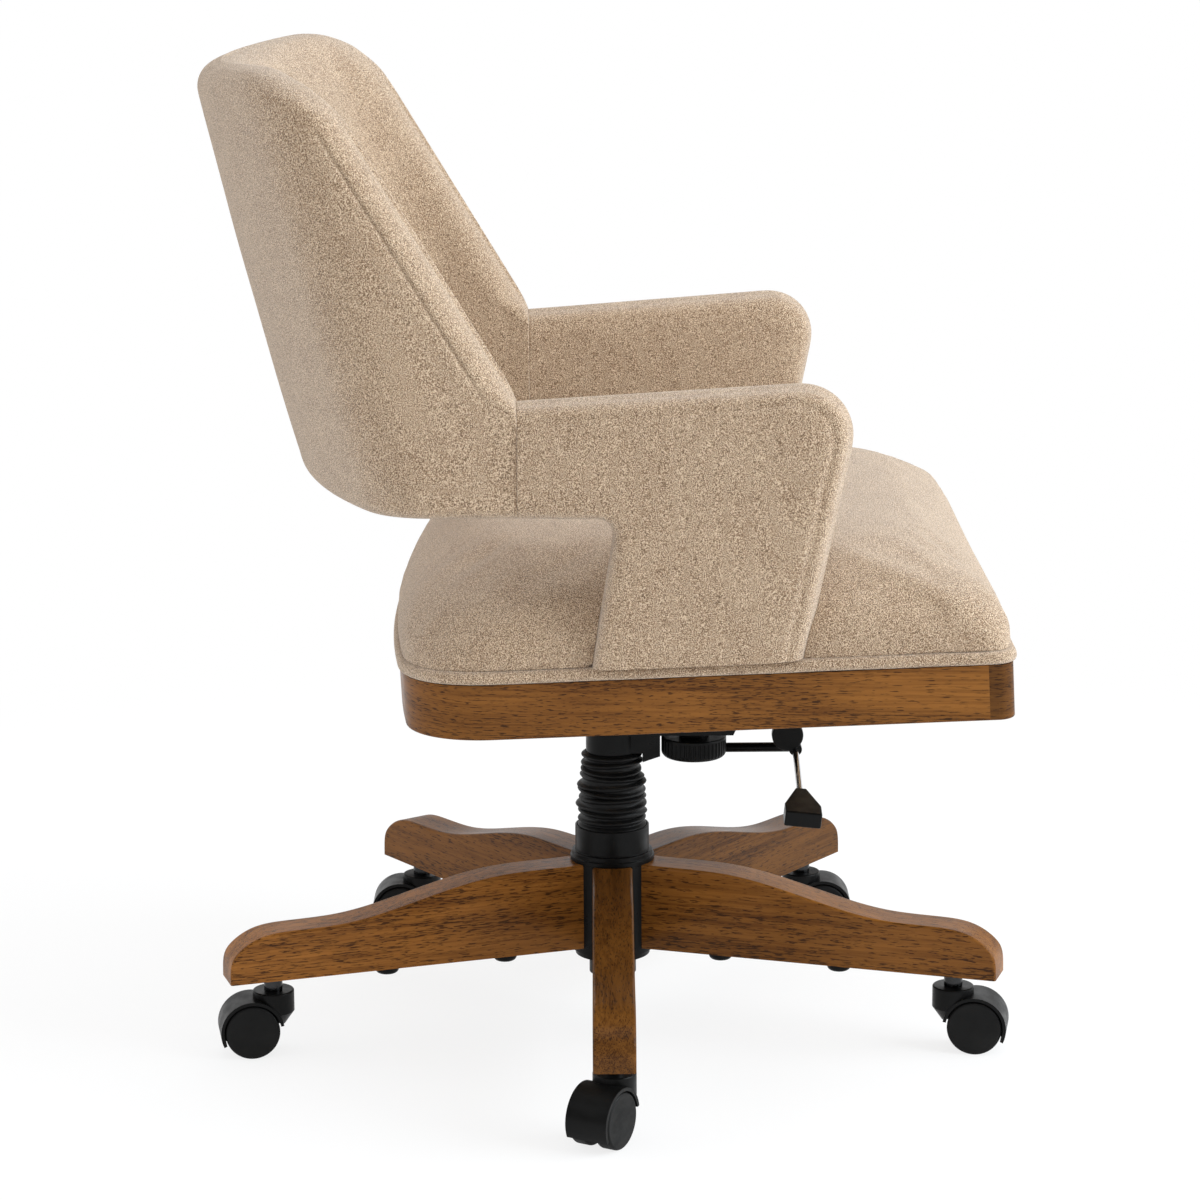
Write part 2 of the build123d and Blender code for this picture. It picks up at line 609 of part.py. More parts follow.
with BuildPart() as tilt_pin:
    with BuildSketch(Plane.YZ):
        with Locations((TILT_Y, TILT_Z)):
            Circle(TILT_PIN_R)
    extrude(amount=HOUSING_W / 2, both=True)
    for way in (1, -1):
        with BuildSketch(Plane.YZ.offset(way * HOUSING_W / 2)):
            with Locations((TILT_Y, TILT_Z)):
                Circle(TILT_HEAD_R)
        extrude(amount=way * TILT_HEAD_T)
finish(tilt_pin, "tilt_pivot_pin")

# Tension adjuster: knob and bolt turn, the nut climbs, the spring bears on the seat plate
with BuildPart() as knob:
    disc(KNOB_R, KNOB_LOW_Z, knob_top, (0, KNOB_Y))
    fillet(knob.edges().group_by(Axis.Z)[0], KNOB_ROUND)
    fillet(knob.edges().group_by(Axis.Z)[-1], KNOB_FLUTE_R)
    with Locations((0, KNOB_Y, KNOB_LOW_Z)):
        with PolarLocations(KNOB_R, KNOB_FLUTES):
            Cylinder(KNOB_FLUTE_R, KNOB_H - 2 * KNOB_FLUTE_R, align=BOTTOM, mode=Mode.SUBTRACT)
    disc(TENSION_BOLT_R, KNOB_LOW_Z + KNOB_ROUND, knob_top, (0, KNOB_Y), Mode.SUBTRACT)
finish(knob, "tension_knob")

with BuildPart() as tension_bolt:
    disc(TENSION_BOLT_R, KNOB_LOW_Z + KNOB_ROUND, TENSION_BOLT_TOP_Z, (0, KNOB_Y))
finish(tension_bolt, "tension_bolt")

nut_low = HOUSING_FLOOR_Z + HOUSING_WALL + GAP
with BuildPart() as nut:
    with Locations((0, KNOB_Y, nut_low)):
        Box(2 * (inner_half - GAP), NUT_D, NUT_H, align=BOTTOM)
    disc(TENSION_BOLT_R + SLIP, nut_low, nut_low + NUT_H, (0, KNOB_Y), Mode.SUBTRACT)
finish(nut, "tension_nut")

spring_top = seat_z(PLATE_LOW_H, KNOB_Y + SPRING_R) - GAP
with BuildPart() as spring:
    disc(SPRING_R, nut_low + NUT_H + GAP, spring_top, (0, KNOB_Y))
    disc(SPRING_R - SPRING_WALL, nut_low + NUT_H + GAP, spring_top, (0, KNOB_Y), Mode.SUBTRACT)
finish(spring, "tension_spring")

# Height lever: shaft with a finger over the release pin, bent bar, boss, rod and paddle
finger_low = pin_top + GAP
bar_y, bar_z = LEVER_BOSS_Y - LEVER_BAR_BESIDE, LEVER_BOSS_Z - LEVER_BAR_BELOW
with BuildPart() as lever_arm:
    with BuildSketch(Plane.YZ.offset(-HOUSING_W / 2)):
        with Locations((LEVER_Y, LEVER_Z)):
            Circle(LEVER_SHAFT_R)
    extrude(amount=HOUSING_W / 2 + LEVER_OUT_X)
    with BuildSketch(Plane.YZ):
        with BuildLine():
            Polyline(
                (LEVER_Y - FINGER_T / 2, LEVER_Z),
                (LEVER_Y - FINGER_T / 2, finger_low + FINGER_T),
                (2 * PIN_R, finger_low + FINGER_T),
                (2 * PIN_R, finger_low),
                (LEVER_Y + FINGER_T / 2, finger_low),
                (LEVER_Y + FINGER_T / 2, LEVER_Z),
                close=True,
            )
        make_face()
    extrude(amount=FINGER_W / 2, both=True)
    with BuildLine():
        bar_path = FilletPolyline(
            (LEVER_OUT_X, LEVER_Y, LEVER_Z),
            (LEVER_OUT_X, LEVER_DROP_Y, LEVER_DROP_Z),
            (LEVER_BEND_X, LEVER_BEND_Y, LEVER_BEND_Z),
            (LEVER_BOSS_X, bar_y, bar_z),
            radius=LEVER_BEND_R,
        )
    with BuildSketch(Plane(origin=bar_path @ 0, z_dir=bar_path % 0)):
        Circle(LEVER_BAR_R)
    sweep(path=bar_path)
    with BuildSketch(Plane.YZ.offset(LEVER_BOSS_X)):
        with Locations((bar_y, bar_z)):
            Circle(LEVER_BOSS_R)
    extrude(amount=-LEVER_BOSS_R, mode=Mode.SUBTRACT)
finish(lever_arm, "lever_arm")

turn, fall = radians(LEVER_ROD_TURN), radians(LEVER_ROD_SLOPE)
rod_dir = Vector(-cos(turn) * cos(fall), -sin(turn) * cos(fall), -sin(fall))
rod_from = Vector(LEVER_BOSS_X - LEVER_BOSS_T + LEVER_ROD_IN_BOSS, bar_y, bar_z)
rod_to = rod_from + rod_dir * LEVER_ROD_LENGTH
with BuildPart() as lever_rod:
    with BuildSketch(Plane(origin=rod_from, z_dir=rod_dir)):
        Circle(LEVER_ROD_R)
    extrude(amount=LEVER_ROD_LENGTH)
finish(lever_rod, "lever_rod")

with BuildPart() as lever_boss:
    with BuildSketch(Plane.YZ.offset(LEVER_BOSS_X)):
        with Locations((LEVER_BOSS_Y, LEVER_BOSS_Z)):
            Circle(LEVER_BOSS_R)
    extrude(amount=-LEVER_BOSS_T)
    fillet(lever_boss.edges().filter_by(GeomType.CIRCLE), PADDLE_EDGE_R)
    with BuildSketch(Plane.YZ.offset(LEVER_BOSS_X)):
        with Locations((bar_y, bar_z)):
            Circle(LEVER_LUG_R)
    extrude(amount=-(LEVER_BOSS_T - PADDLE_EDGE_R))
    add(lever_rod.part, mode=Mode.SUBTRACT)
finish(lever_boss, "lever_boss")

drop, roll = radians(PADDLE_SLOPE), radians(PADDLE_ROLL)
paddle_dir = Vector(-cos(turn) * cos(drop), -sin(turn) * cos(drop), -sin(drop))
paddle_from = rod_to - rod_dir * PADDLE_ON_ROD
paddle_across = Vector(0, 0, 1).cross(paddle_dir).normalized()
paddle_up = paddle_dir.cross(paddle_across) * cos(roll) + paddle_across * sin(roll)
with BuildPart() as paddle:
    with BuildSketch(Plane(origin=paddle_from, x_dir=paddle_dir, z_dir=paddle_up)):
        with BuildLine():
            Polyline(
                (0, -PADDLE_NECK_W / 2),
                (PADDLE_TAPER, -PADDLE_W / 2),
                (PADDLE_LENGTH, -PADDLE_W / 2),
                (PADDLE_LENGTH, PADDLE_W / 2),
                (PADDLE_TAPER, PADDLE_W / 2),
                (0, PADDLE_NECK_W / 2),
                close=True,
            )
        make_face()
    extrude(amount=PADDLE_T / 2, both=True)
    fillet(paddle.edges(), PADDLE_EDGE_R)
    add(lever_rod.part, mode=Mode.SUBTRACT)
finish(paddle, "lever_paddle")


# Seat frame
def seat_outline(inset=0.0, front_inset=None, ease=0.0, mode=Mode.ADD):
    """Plan of the seat on its own plane, drawn in by an inset."""
    front = -SEAT_FRONT + (inset if front_inset is None else front_inset)
    rear = SEAT_REAR - inset
    rear_side = SEAT_REAR - SEAT_REAR_BOW - inset
    half_front = seat_half_width(front) - inset
    half_rear = seat_half_width(rear_side) - inset
    with BuildSketch(mode=Mode.PRIVATE) as plan:
        with BuildLine():
            Polyline(
                (-half_rear, rear_side),
                (-half_front, front),
                (half_front, front),
                (half_rear, rear_side),
            )
            ThreePointArc((half_rear, rear_side), (0, rear), (-half_rear, rear_side))
        make_face()
        fillet(plan.vertices().group_by(Axis.Y)[0], max(SEAT_FRONT_CORNER_R - inset, WELT_ROUND) + ease)
        rear_corners = plan.vertices().filter_by(lambda corner: corner.Y > rear_side - WELT_ROUND)
        fillet(rear_corners, max(SEAT_REAR_CORNER_R - inset, WELT_ROUND) + ease)
    add(plan.sketch, mode=mode)


def seat_bolt_hole(at, radius, low, high):
    """Hole square to the seat plane."""
    with BuildSketch(SEAT.offset(low)) as hole:
        with Locations(at):
            Circle(radius)
    extrude(hole.sketch, amount=high - low, mode=Mode.SUBTRACT)


arm_bolt_places = [
    (way * (seat_half_width(v) - RAIL_T / 2), v) for way in (1, -1) for v in ARM_BOLT_V
]
plate_bolt_places = [
    (way * PLATE_BOLT_HALF_X, v) for way in (1, -1) for v in (CROSS_FRONT_V, CROSS_REAR_V)
]
front_cut = Plane(SEAT.from_local_coords((0, -SEAT_FRONT + RAIL_T, 0)), x_dir=(1, 0, 0), z_dir=SEAT.y_dir)

for name, kept in (("rail_bent", Keep.TOP), ("rail_front", Keep.BOTTOM)):
    with BuildPart() as rail:
        with BuildSketch(SEAT):
            seat_outline()
            seat_outline(RAIL_T, mode=Mode.SUBTRACT)
        extrude(amount=RAIL_H)
        fillet(rail.faces().sort_by(SEAT_UP)[0].outer_wire().edges(), RAIL_EDGE_R)
        for place in arm_bolt_places:
            seat_bolt_hole(place, ARM_BOLT_R, 0, RAIL_H)
            seat_bolt_hole(place, ARM_BOLT_HEAD_R, 0, ARM_BOLT_SUNK)
        split(bisect_by=front_cut, keep=kept)
    finish(rail, name)

# Cross rails under the seat board and blocks in the corners of the rail
with BuildPart() as braces:
    for v in (CROSS_FRONT_V, CROSS_REAR_V):
        with BuildSketch(SEAT.offset(PLATE_TOP_H)):
            seat_outline(RAIL_T)
            with Locations((0, v)):
                Rectangle(3 * SEAT_FRONT, CROSS_RAIL_W, mode=Mode.INTERSECT)
        extrude(amount=CROSS_RAIL_T)
    for place in plate_bolt_places:
        seat_bolt_hole(place, PLATE_BOLT_R, PLATE_TOP_H, PLATE_LOW_H + PLATE_BOLT_LENGTH)
    front_reach = RAIL_T + BLOCK_REACH
    rear_reach = SEAT_REAR_CORNER_R + BLOCK_REACH / 2
    for way in (1, -1):
        for v, reach in ((-SEAT_FRONT, front_reach), (SEAT_REAR, -rear_reach)):
            corner_x = way * seat_half_width(v)
            inner_x = corner_x - way * abs(reach)
            with BuildSketch(SEAT.offset(RAIL_H - BLOCK_H)):
                seat_outline(RAIL_T)
                with BuildLine():
                    Polyline((corner_x, v), (inner_x, v), (corner_x, v + reach), close=True)
                make_face(mode=Mode.INTERSECT)
            extrude(amount=BLOCK_H)
finish(braces, "frame_braces")

# Seat plate with two cheeks that hang on the tilt pin
with BuildPart() as plate:
    with BuildSketch(SEAT.offset(PLATE_LOW_H)):
        with Locations((0, CROSS_FRONT_V - PLATE_MARGIN)):
            Rectangle(
                2 * PLATE_HALF_W,
                CROSS_REAR_V - CROSS_FRONT_V + 2 * PLATE_MARGIN,
                align=(Align.CENTER, Align.MIN),
            )
    extrude(amount=PLATE_T)
    for place in plate_bolt_places:
        seat_bolt_hole(place, PLATE_BOLT_R, PLATE_LOW_H, PLATE_TOP_H)
    cheek_front, cheek_rear = TILT_Y - CHEEK_TOP_W / 2, TILT_Y + CHEEK_TOP_W / 2
    for way in (1, -1):
        with BuildSketch(Plane.YZ.offset(way * (inner_half - CHEEK_SIDE_GAP))):
            with BuildLine():
                Polyline(
                    (cheek_front, seat_z(PLATE_LOW_H + PLATE_T / 2, cheek_front)),
                    (cheek_rear, seat_z(PLATE_LOW_H + PLATE_T / 2, cheek_rear)),
                    (TILT_Y + CHEEK_EYE_R, TILT_Z),
                    (TILT_Y - CHEEK_EYE_R, TILT_Z),
                    close=True,
                )
            make_face()
            with Locations((TILT_Y, TILT_Z)):
                Circle(CHEEK_EYE_R)
                Circle(TILT_PIN_R + SLIP, mode=Mode.SUBTRACT)
        extrude(amount=-way * CHEEK_T)
finish(plate, "seat_plate")

with BuildPart() as frame_bolts:
    for place in plate_bolt_places:
        with BuildSketch(SEAT.offset(PLATE_LOW_H)):
            with Locations(place):
                Circle(PLATE_BOLT_R)
        extrude(amount=PLATE_BOLT_LENGTH)
        with BuildSketch(SEAT.offset(PLATE_LOW_H)):
            with Locations(place):
                RegularPolygon(BOLT_HEAD_R, 6)
        extrude(amount=-BOLT_HEAD_H)
    for place in arm_bolt_places:
        with BuildSketch(SEAT.offset(ARM_BOLT_SUNK)):
            with Locations(place):
                Circle(ARM_BOLT_R)
        extrude(amount=FOOT_H + ARM_BOLT_IN_ARM - ARM_BOLT_SUNK)
        with BuildSketch(SEAT.offset(ARM_BOLT_SUNK)):
            with Locations(place):
                RegularPolygon(ARM_BOLT_HEAD_R, 6)
        extrude(amount=-ARM_BOLT_HEAD_H)
finish(frame_bolts, "frame_bolts")

# Seat board inside the welt, on top of the rail
with BuildPart() as board:
    with BuildSketch(SEAT.offset(RAIL_H)):
        seat_outline(WELT_IN)
    extrude(amount=WELT_H)
finish(board, "seat_board")

with BuildPart() as welt:
    with BuildSketch(SEAT.offset(RAIL_H)):
        seat_outline(-WELT_PROUD)
    extrude(amount=WELT_H)
    rims = welt.faces().sort_by(SEAT_UP)
    fillet(rims[0].edges() + rims[-1].edges(), WELT_ROUND)
    with BuildSketch(SEAT.offset(RAIL_H)):
        seat_outline(WELT_IN)
    extrude(amount=WELT_H, mode=Mode.SUBTRACT)
    for place in arm_bolt_places:
        seat_bolt_hole(place, ARM_BOLT_R, RAIL_H, FOOT_H)
finish(welt, "seat_welt")


# Arms: a wooden frame inside a pad, splayed with the rail and cut square at the back
def arm_plane(way, depth=0.0):
    """Outer face of an arm, or a plane parallel to it further in, with its y upwards."""
    splay = radians(SEAT_TAPER)
    out = Vector(way * cos(splay), sin(splay), 0)
    along = Vector(-way * sin(splay), cos(splay), 0)
    return Plane(Vector(way * BACK_HALF_W, BACK_JOINT_Y, 0) - out * depth, x_dir=along, z_dir=out * way)


def arm_profile(inset=0.0):
    """Side view of an arm, drawn in by an inset, with distances from the joint to the back."""
    past_joint = BACK_JOINT_Y + ARM_THICK * tan(radians(SEAT_TAPER))
    outline = (
        (past_joint, BACK_LOW_Z + inset),
        (past_joint, ARM_JOINT_TOP_Z - inset),
        (ARM_FRONT_Y + inset, ARM_FRONT_TOP_Z - inset),
        (ARM_FOOT_FRONT_Y + inset, seat_z(RAIL_H, ARM_FOOT_FRONT_Y)),
        (ARM_FOOT_REAR_Y - inset, seat_z(RAIL_H, ARM_FOOT_REAR_Y)),
        (ARM_POST_REAR_Y - inset, BACK_LOW_Z + inset),
    )
    points = [(y - BACK_JOINT_Y, z) for y, z in outline]
    with BuildSketch(mode=Mode.PRIVATE) as side_view:
        with BuildLine():
            Polyline(*points, close=True)
        make_face()
        for corner, radius in ((points[2], ARM_FRONT_R - inset), (points[5], ARM_NOOK_R + inset)):
            fillet(side_view.vertices().sort_by_distance(Vertex(*corner, 0))[0], radius)
    add(side_view.sketch)


frame_depth = (ARM_THICK - ARM_FRAME_T) / 2
joint_face = Plane.XZ.offset(-BACK_JOINT_Y)
with BuildPart() as arm_frames:
    for way in (1, -1):
        with BuildSketch(arm_plane(way, frame_depth)):
            arm_profile(ARM_FRAME_INSET)
        extrude(amount=-way * ARM_FRAME_T)
    for place in arm_bolt_places:
        seat_bolt_hole(place, ARM_BOLT_R, RAIL_H, FOOT_H + ARM_BOLT_IN_ARM)
    split(bisect_by=joint_face, keep=Keep.TOP)
    split(bisect_by=SEAT.offset(FOOT_H), keep=Keep.TOP)
finish(arm_frames, "arm_frames")

for way, name in ((1, "left"), (-1, "right")):
    with BuildPart() as arm_pad:
        with BuildSketch(arm_plane(way)):
            arm_profile()
        extrude(amount=-way * ARM_THICK)
        sides = arm_pad.faces().filter_by(arm_plane(way)).edges()
        foot_z = seat_z(FOOT_H, ARM_FOOT_FRONT_Y)
        sides = sides.filter_by(lambda edge: edge.center().Y < BACK_JOINT_Y - ARM_EDGE_R)
        fillet(sides.filter_by(lambda edge: edge.center().Z > foot_z), ARM_EDGE_R)
        with BuildSketch(arm_plane(way, frame_depth)):
            arm_profile(ARM_FRAME_INSET)
        extrude(amount=-way * ARM_FRAME_T, mode=Mode.SUBTRACT)
        split(bisect_by=joint_face, keep=Keep.TOP)
        split(bisect_by=SEAT.offset(FOOT_H), keep=Keep.TOP)
    finish(arm_pad, f"arm_{name}")

# Seat cushion: crowned, drawn in at its foot, with a notch for each arm
with BuildPart() as cushion:
    for rise, inset, front_inset in CUSHION_RINGS:
        with BuildSketch(SEAT.offset(FOOT_H + rise)):
            seat_outline(inset, front_inset, ease=CUSHION_ROUND * rise / CUSHION_RINGS[-1][0])
    loft()
    for way in (1, -1):
        with BuildSketch(arm_plane(way, ARM_THICK + GAP)):
            arm_profile(-GAP)
        extrude(amount=way * 2 * ARM_THICK, mode=Mode.SUBTRACT)
finish(cushion, "seat_cushion")


# Back: bent plan, leaned back, cut to the side view
def wrap_outline(depth, corner, mode=Mode.ADD):
    """Plan of the back at a depth inside its outer face, closed well in front of the wings."""
    half = BACK_HALF_W - depth
    bow = BACK_BOW_R - depth
    rear = BACK_REAR_Y - depth
    turn_y = rear - bow + sqrt(bow**2 - half**2)
    front = BACK_JOINT_Y - (BACK_TOP_Z - BACK_LOW_Z) * tan(radians(BACK_RECLINE))
    with BuildSketch(mode=Mode.PRIVATE) as plan:
        with BuildLine():
            Polyline((-half, turn_y), (-half, front), (half, front), (half, turn_y))
            ThreePointArc((half, turn_y), (0, rear), (-half, turn_y))
        make_face()
        fillet(plan.vertices().group_by(Axis.Y)[-1], corner)
    add(plan.sketch, mode=mode)


def back_layer(outer, inner, inset=0.0):
    """Solid layer of the back between two depths, drawn in from the edges of the side view."""
    lean = radians(BACK_RECLINE)
    height = BACK_TOP_Z - BACK_LOW_Z
    inner_corner = BACK_INNER_CORNER_R if inner == BACK_THICK else BACK_CORNER_R - inner
    with BuildSketch(Plane.XY.offset(BACK_LOW_Z)) as plan:
        wrap_outline(outer, BACK_CORNER_R - outer)
        wrap_outline(inner, inner_corner, Mode.SUBTRACT)
    extrude(plan.sketch, amount=height / cos(lean), dir=(0, sin(lean), cos(lean)))
    wing_run = (WING_TOP_Y - BACK_JOINT_Y) / (WING_TOP_Z - ARM_JOINT_TOP_Z)
    wing_shift = inset * hypot(1, wing_run)
    joint = BACK_JOINT_Y + inset
    low, top = BACK_LOW_Z + inset, BACK_TOP_Z - inset
    wing_low_z = ARM_JOINT_TOP_Z + (inset - wing_shift) / wing_run
    wing_end_y = BACK_JOINT_Y + wing_shift + (top - ARM_JOINT_TOP_Z) * wing_run
    far_y = BACK_REAR_Y + height
    fall = BACK_TOP_FALL * (far_y - wing_end_y) / (BACK_REAR_Y - BACK_JOINT_Y)
    with BuildSketch(Plane.YZ) as side_view:
        with BuildLine():
            Polyline(
                (joint, low),
                (joint, wing_low_z),
                (wing_end_y, top),
                (far_y, top - fall),
                (far_y, low),
                close=True,
            )
        make_face()
        fillet(side_view.vertices().sort_by_distance(Vertex(wing_end_y, top, 0))[0], WING_TOP_R - inset)
    extrude(side_view.sketch, amount=2 * BACK_HALF_W, both=True, mode=Mode.INTERSECT)


with BuildPart() as outer_panel:
    back_layer(0.0, PANEL_T, PANEL_INSET)
finish(outer_panel, "back_outer_panel")

with BuildPart() as shell:
    back_layer(PANEL_T, PANEL_T + SHELL_T, PANEL_INSET)
finish(shell, "back_shell")

with BuildPart() as back_pad:
    back_layer(0.0, BACK_THICK)
    upper = back_pad.faces().filter_by(lambda face: face.normal_at().Z > 0.3).edges()
    fillet(upper.filter_by(lambda edge: edge.center().Z > ARM_JOINT_TOP_Z + BACK_EDGE_R), BACK_EDGE_R)
    lower = back_pad.faces().sort_by(Axis.Z)[0].edges()
    fillet(lower.filter_by(lambda edge: edge.center().Y > BACK_JOINT_Y + BACK_EDGE_R), BACK_LOW_EDGE_R)
    add(outer_panel.part, mode=Mode.SUBTRACT)
    add(shell.part, mode=Mode.SUBTRACT)
finish(back_pad, "back_pad")
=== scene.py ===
from math import atan2, cos, hypot, pi, radians, sin, sqrt, tan

import bmesh
import bpy
import numpy as np
from bpy.props import FloatProperty, FloatVectorProperty, IntProperty, PointerProperty
from mathutils import Matrix, Vector, noise


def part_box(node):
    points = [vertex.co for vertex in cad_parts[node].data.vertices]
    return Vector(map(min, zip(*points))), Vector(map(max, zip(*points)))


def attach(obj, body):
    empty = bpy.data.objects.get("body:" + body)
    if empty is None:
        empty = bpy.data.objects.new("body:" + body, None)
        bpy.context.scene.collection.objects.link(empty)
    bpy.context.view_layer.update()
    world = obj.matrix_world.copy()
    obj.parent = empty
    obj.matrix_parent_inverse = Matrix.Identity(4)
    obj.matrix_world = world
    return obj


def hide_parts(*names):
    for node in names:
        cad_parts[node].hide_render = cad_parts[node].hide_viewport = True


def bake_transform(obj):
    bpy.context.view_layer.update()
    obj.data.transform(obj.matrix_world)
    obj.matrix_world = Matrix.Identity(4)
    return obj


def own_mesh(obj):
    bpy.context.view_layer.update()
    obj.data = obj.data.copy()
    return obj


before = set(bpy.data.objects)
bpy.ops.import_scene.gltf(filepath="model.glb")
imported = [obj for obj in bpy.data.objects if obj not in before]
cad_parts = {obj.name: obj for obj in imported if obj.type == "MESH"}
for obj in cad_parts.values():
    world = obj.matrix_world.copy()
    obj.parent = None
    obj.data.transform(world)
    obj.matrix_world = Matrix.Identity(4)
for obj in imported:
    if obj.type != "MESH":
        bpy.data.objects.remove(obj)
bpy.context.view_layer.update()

bl_info = {
    "name": "Swivel desk chair",
    "version": (1, 0, 0),
    "blender": (4, 5, 0),
    "location": "View3D > Sidebar > Chair",
    "description": "Upholstery, finishes and studio for a swivel desk chair with a wooden star base",
    "category": "Object",
}

# Seat plane: origin over the column, rising to the front, as the solids have it
SEAT_PITCH = radians(2.8)
RAIL_BOTTOM_Z = 0.3497
FOOT_H = 0.060            # top of the welt above the rail's underside
RAIL_H = 0.048
SEAT_FRONT, SEAT_REAR, SEAT_BOW = 0.340, 0.192, 0.022
SEAT_FRONT_HALF, SEAT_REAR_HALF = 0.320, 0.293
SEAT_TAPER = atan2(SEAT_FRONT_HALF - SEAT_REAR_HALF, SEAT_FRONT + SEAT_REAR - SEAT_BOW)
FRONT_CORNER, REAR_CORNER, LEAST_CORNER = 0.014, 0.082, 0.0045

# Back: bent plan that leans back, cut to a side view
BACK_LOW, BACK_TOP, BACK_FALL = 0.537, 0.912, 0.11
BACK_LEAN = tan(radians(14.3))
BACK_HALF, BACK_BOW, BACK_REAR = 0.310, 0.575, 0.278
BACK_CORNER, BACK_INNER_CORNER, BACK_THICK = 0.065, 0.070, 0.056
JOINT_Y, JOINT_TOP = 0.078, 0.631
WING_TOP, WING_ROUND = (0.209, 0.848), 0.075

# Arms, side view
ARM_TIP, ARM_TIP_R = (-0.208, 0.650), 0.040
ARM_FOOT_FRONT, ARM_FOOT_REAR = -0.160, 0.017
ARM_NOOK, ARM_NOOK_R, ARM_THICK = (-0.004, 0.537), 0.014, 0.052

# Loops beside an edge: close at the roll, closer at the seam
EDGE_LOOPS = (0, .0006, .0022, .005, .009, .0135, .0172, .0187, .02, .0213, .0228, .027, .034)
SEAM_AT = 0.020
END_LOOPS = (0, .0005, .0014, .003, .006)
SEAM_NARROW, SEAM_WIDE = 0.0014, 0.007
STRIP_SEGMENTS = 5        # faces across the strip between a pad's two faces
SEWN_ROLL = 0.0007        # roll of an edge that is sewn to another piece
SEWN_IN = 0.0008          # how far an arm's end goes into the back
ARM_SEAM_AT = 0.0135

# Cushion: rise above the welt, inset at the sides and the rear, inset at the front
CUSHION_PROFILE = (
    (-0.020, 0.0015, 0.0015), (0.004, 0.0008, 0.0008), (0.020, 0.0, -0.002), (0.036, 0.003, 0.002),
    (0.050, 0.010, 0.012), (0.062, 0.022, 0.031), (0.072, 0.040, 0.059), (0.079, 0.066, 0.094),
    (0.084, 0.098, 0.134), (0.087, 0.135, 0.180),
)
CUSHION_EASE, CUSHION_CROWN, CUSHION_UNDER = 0.075, 0.004, 0.03
CUSHION_RINGS, CUSHION_STEPS, CUSHION_MESH = 30, 240, 0.0061
CUSHION_PRESSURE, CUSHION_PUFF, CUSHION_HELD, CLOTH_FRAMES = 2.4, 0.007, 0.022, 18
ARM_CLEARANCE = 0.0003    # between the cushion and an arm
ARM_FOOT_Z = 0.424        # below this an arm's foot presses the cushion in
DIVE_FROM, DIVE_OVER = 0.003, 0.011
CREASE, CREASE_WIDE = 0.0035, 0.009

# Column boot and tension coil; the coil leaves slack for the nut's climb
BOOT_WIDE, BOOT_NECK, BOOT_WIDE_SHARE, BOOT_RIB = 0.0324, 0.0284, 0.62, 0.0036
BOOT_WALL, BOOT_LEAST_WALL, BOOT_BORE = 0.0012, 0.0003, 0.0246
BOOT_FADE_Z, BOOT_FADE = 0.190, 0.01
COIL_WIRE, NUT_CLIMB, COIL_PRESS = 0.0024, 0.0062, 0.16

# Wood: heading of each leg and strength of its stain, and the run of the grain round the bent rail. The
# stains are partly each board's own tone and partly painted shade: the first leg and the front board are
# stained darker for the seat's shadow over them, and the third leg darker against the reflection on its top.
LEG_HEADINGS = (180.0, 252.0, 324.0, 36.0, 108.0)
# Stain strength of each leg, partly painted shade: the first and third legs are darker.
LEG_STAINS_AND_SHADE = (1.8, 1.12, 2.1, 1.3, 0.84)
# The front board's stronger stain is partly painted shade from the seat above it.
RAIL_STAIN, BOARD_STAIN_AND_SHADE, LACQUER = 1.1, 1.9, 0.14
GRAIN_CENTRE, GRAIN_REACH = 0.06, 0.36

# Stage: place, target, size, power and colour of each lamp
PALE_BLUE, COOL = (0.94, 0.97, 1.0), (0.87, 0.945, 1.0)
LAMPS = {
    "overhead": ((0.0, -0.3, 2.7), (0, 0, 0.5), (2.6, 2.6), 23.0, PALE_BLUE),
    "front": ((-0.7, -2.7, 1.7), (0, 0.1, 0.6), (2.4, 1.8), 118.0, COOL),
    "camera_side": ((-2.7, 1.3, 1.1), (0, 0, 0.5), (2.0, 1.6), 7.0, PALE_BLUE),
    "far_side": ((2.4, -0.6, 1.9), (0, 0, 0.35), (1.8, 1.4), 12.0, PALE_BLUE),
    "rear": ((-0.1, 2.8, 1.6), (0, 0, 0.5), (2.2, 1.6), 20.0, PALE_BLUE),
}
CAMERA_AT, CAMERA_DOWN, CAMERA_ROLL = (-3.2429, 0.0100, 1.1131), 12.381, -0.349
FLOOR_REACH = 9.0


class ChairFabric(bpy.types.PropertyGroup):
    """Woven cover of the seat, back and arms."""
    ground: FloatVectorProperty(
        name="Ground", description="Main colour of the weave", subtype="COLOR", default=(0.355, 0.230, 0.139))
    # The light yarn colour also serves as the painted highlight on the raised nubs.
    light: FloatVectorProperty(
        name="Light yarn", description="Colour of the nubs", subtype="COLOR", default=(0.740, 0.580, 0.415))
    # The dark yarn colour also serves as the painted shade in the gaps between the nubs, besides the dark
    # slubs.
    dark: FloatVectorProperty(
        name="Dark yarn", description="Colour between the nubs", subtype="COLOR",
        default=(0.080, 0.043, 0.020))
    nub: FloatProperty(
        name="Nub", description="Size of one nub of yarn", unit="LENGTH",
        default=0.0009, min=0.0005, max=0.01)
    seam_depth: FloatProperty(
        name="Seam depth", description="Depth of a sewn seam", unit="LENGTH",
        default=0.0026, min=0.0, max=0.01)
    crown: FloatProperty(
        name="Crown", description="Swell of a panel between its seams", unit="LENGTH",
        default=0.004, max=0.02)


class ChairWood(bpy.types.PropertyGroup):
    """Stained and lacquered wood of the legs and the seat rail."""
    tone: FloatVectorProperty(
        name="Tone", description="Stain between grain lines", subtype="COLOR", default=(0.275, 0.108, 0.021))
    dark: FloatVectorProperty(
        name="Grain", description="Stain in the grain lines", subtype="COLOR", default=(0.105, 0.036, 0.0065))
    pore: FloatVectorProperty(
        name="Pores", description="Colour of the open pores", subtype="COLOR", default=(0.022, 0.009, 0.003))


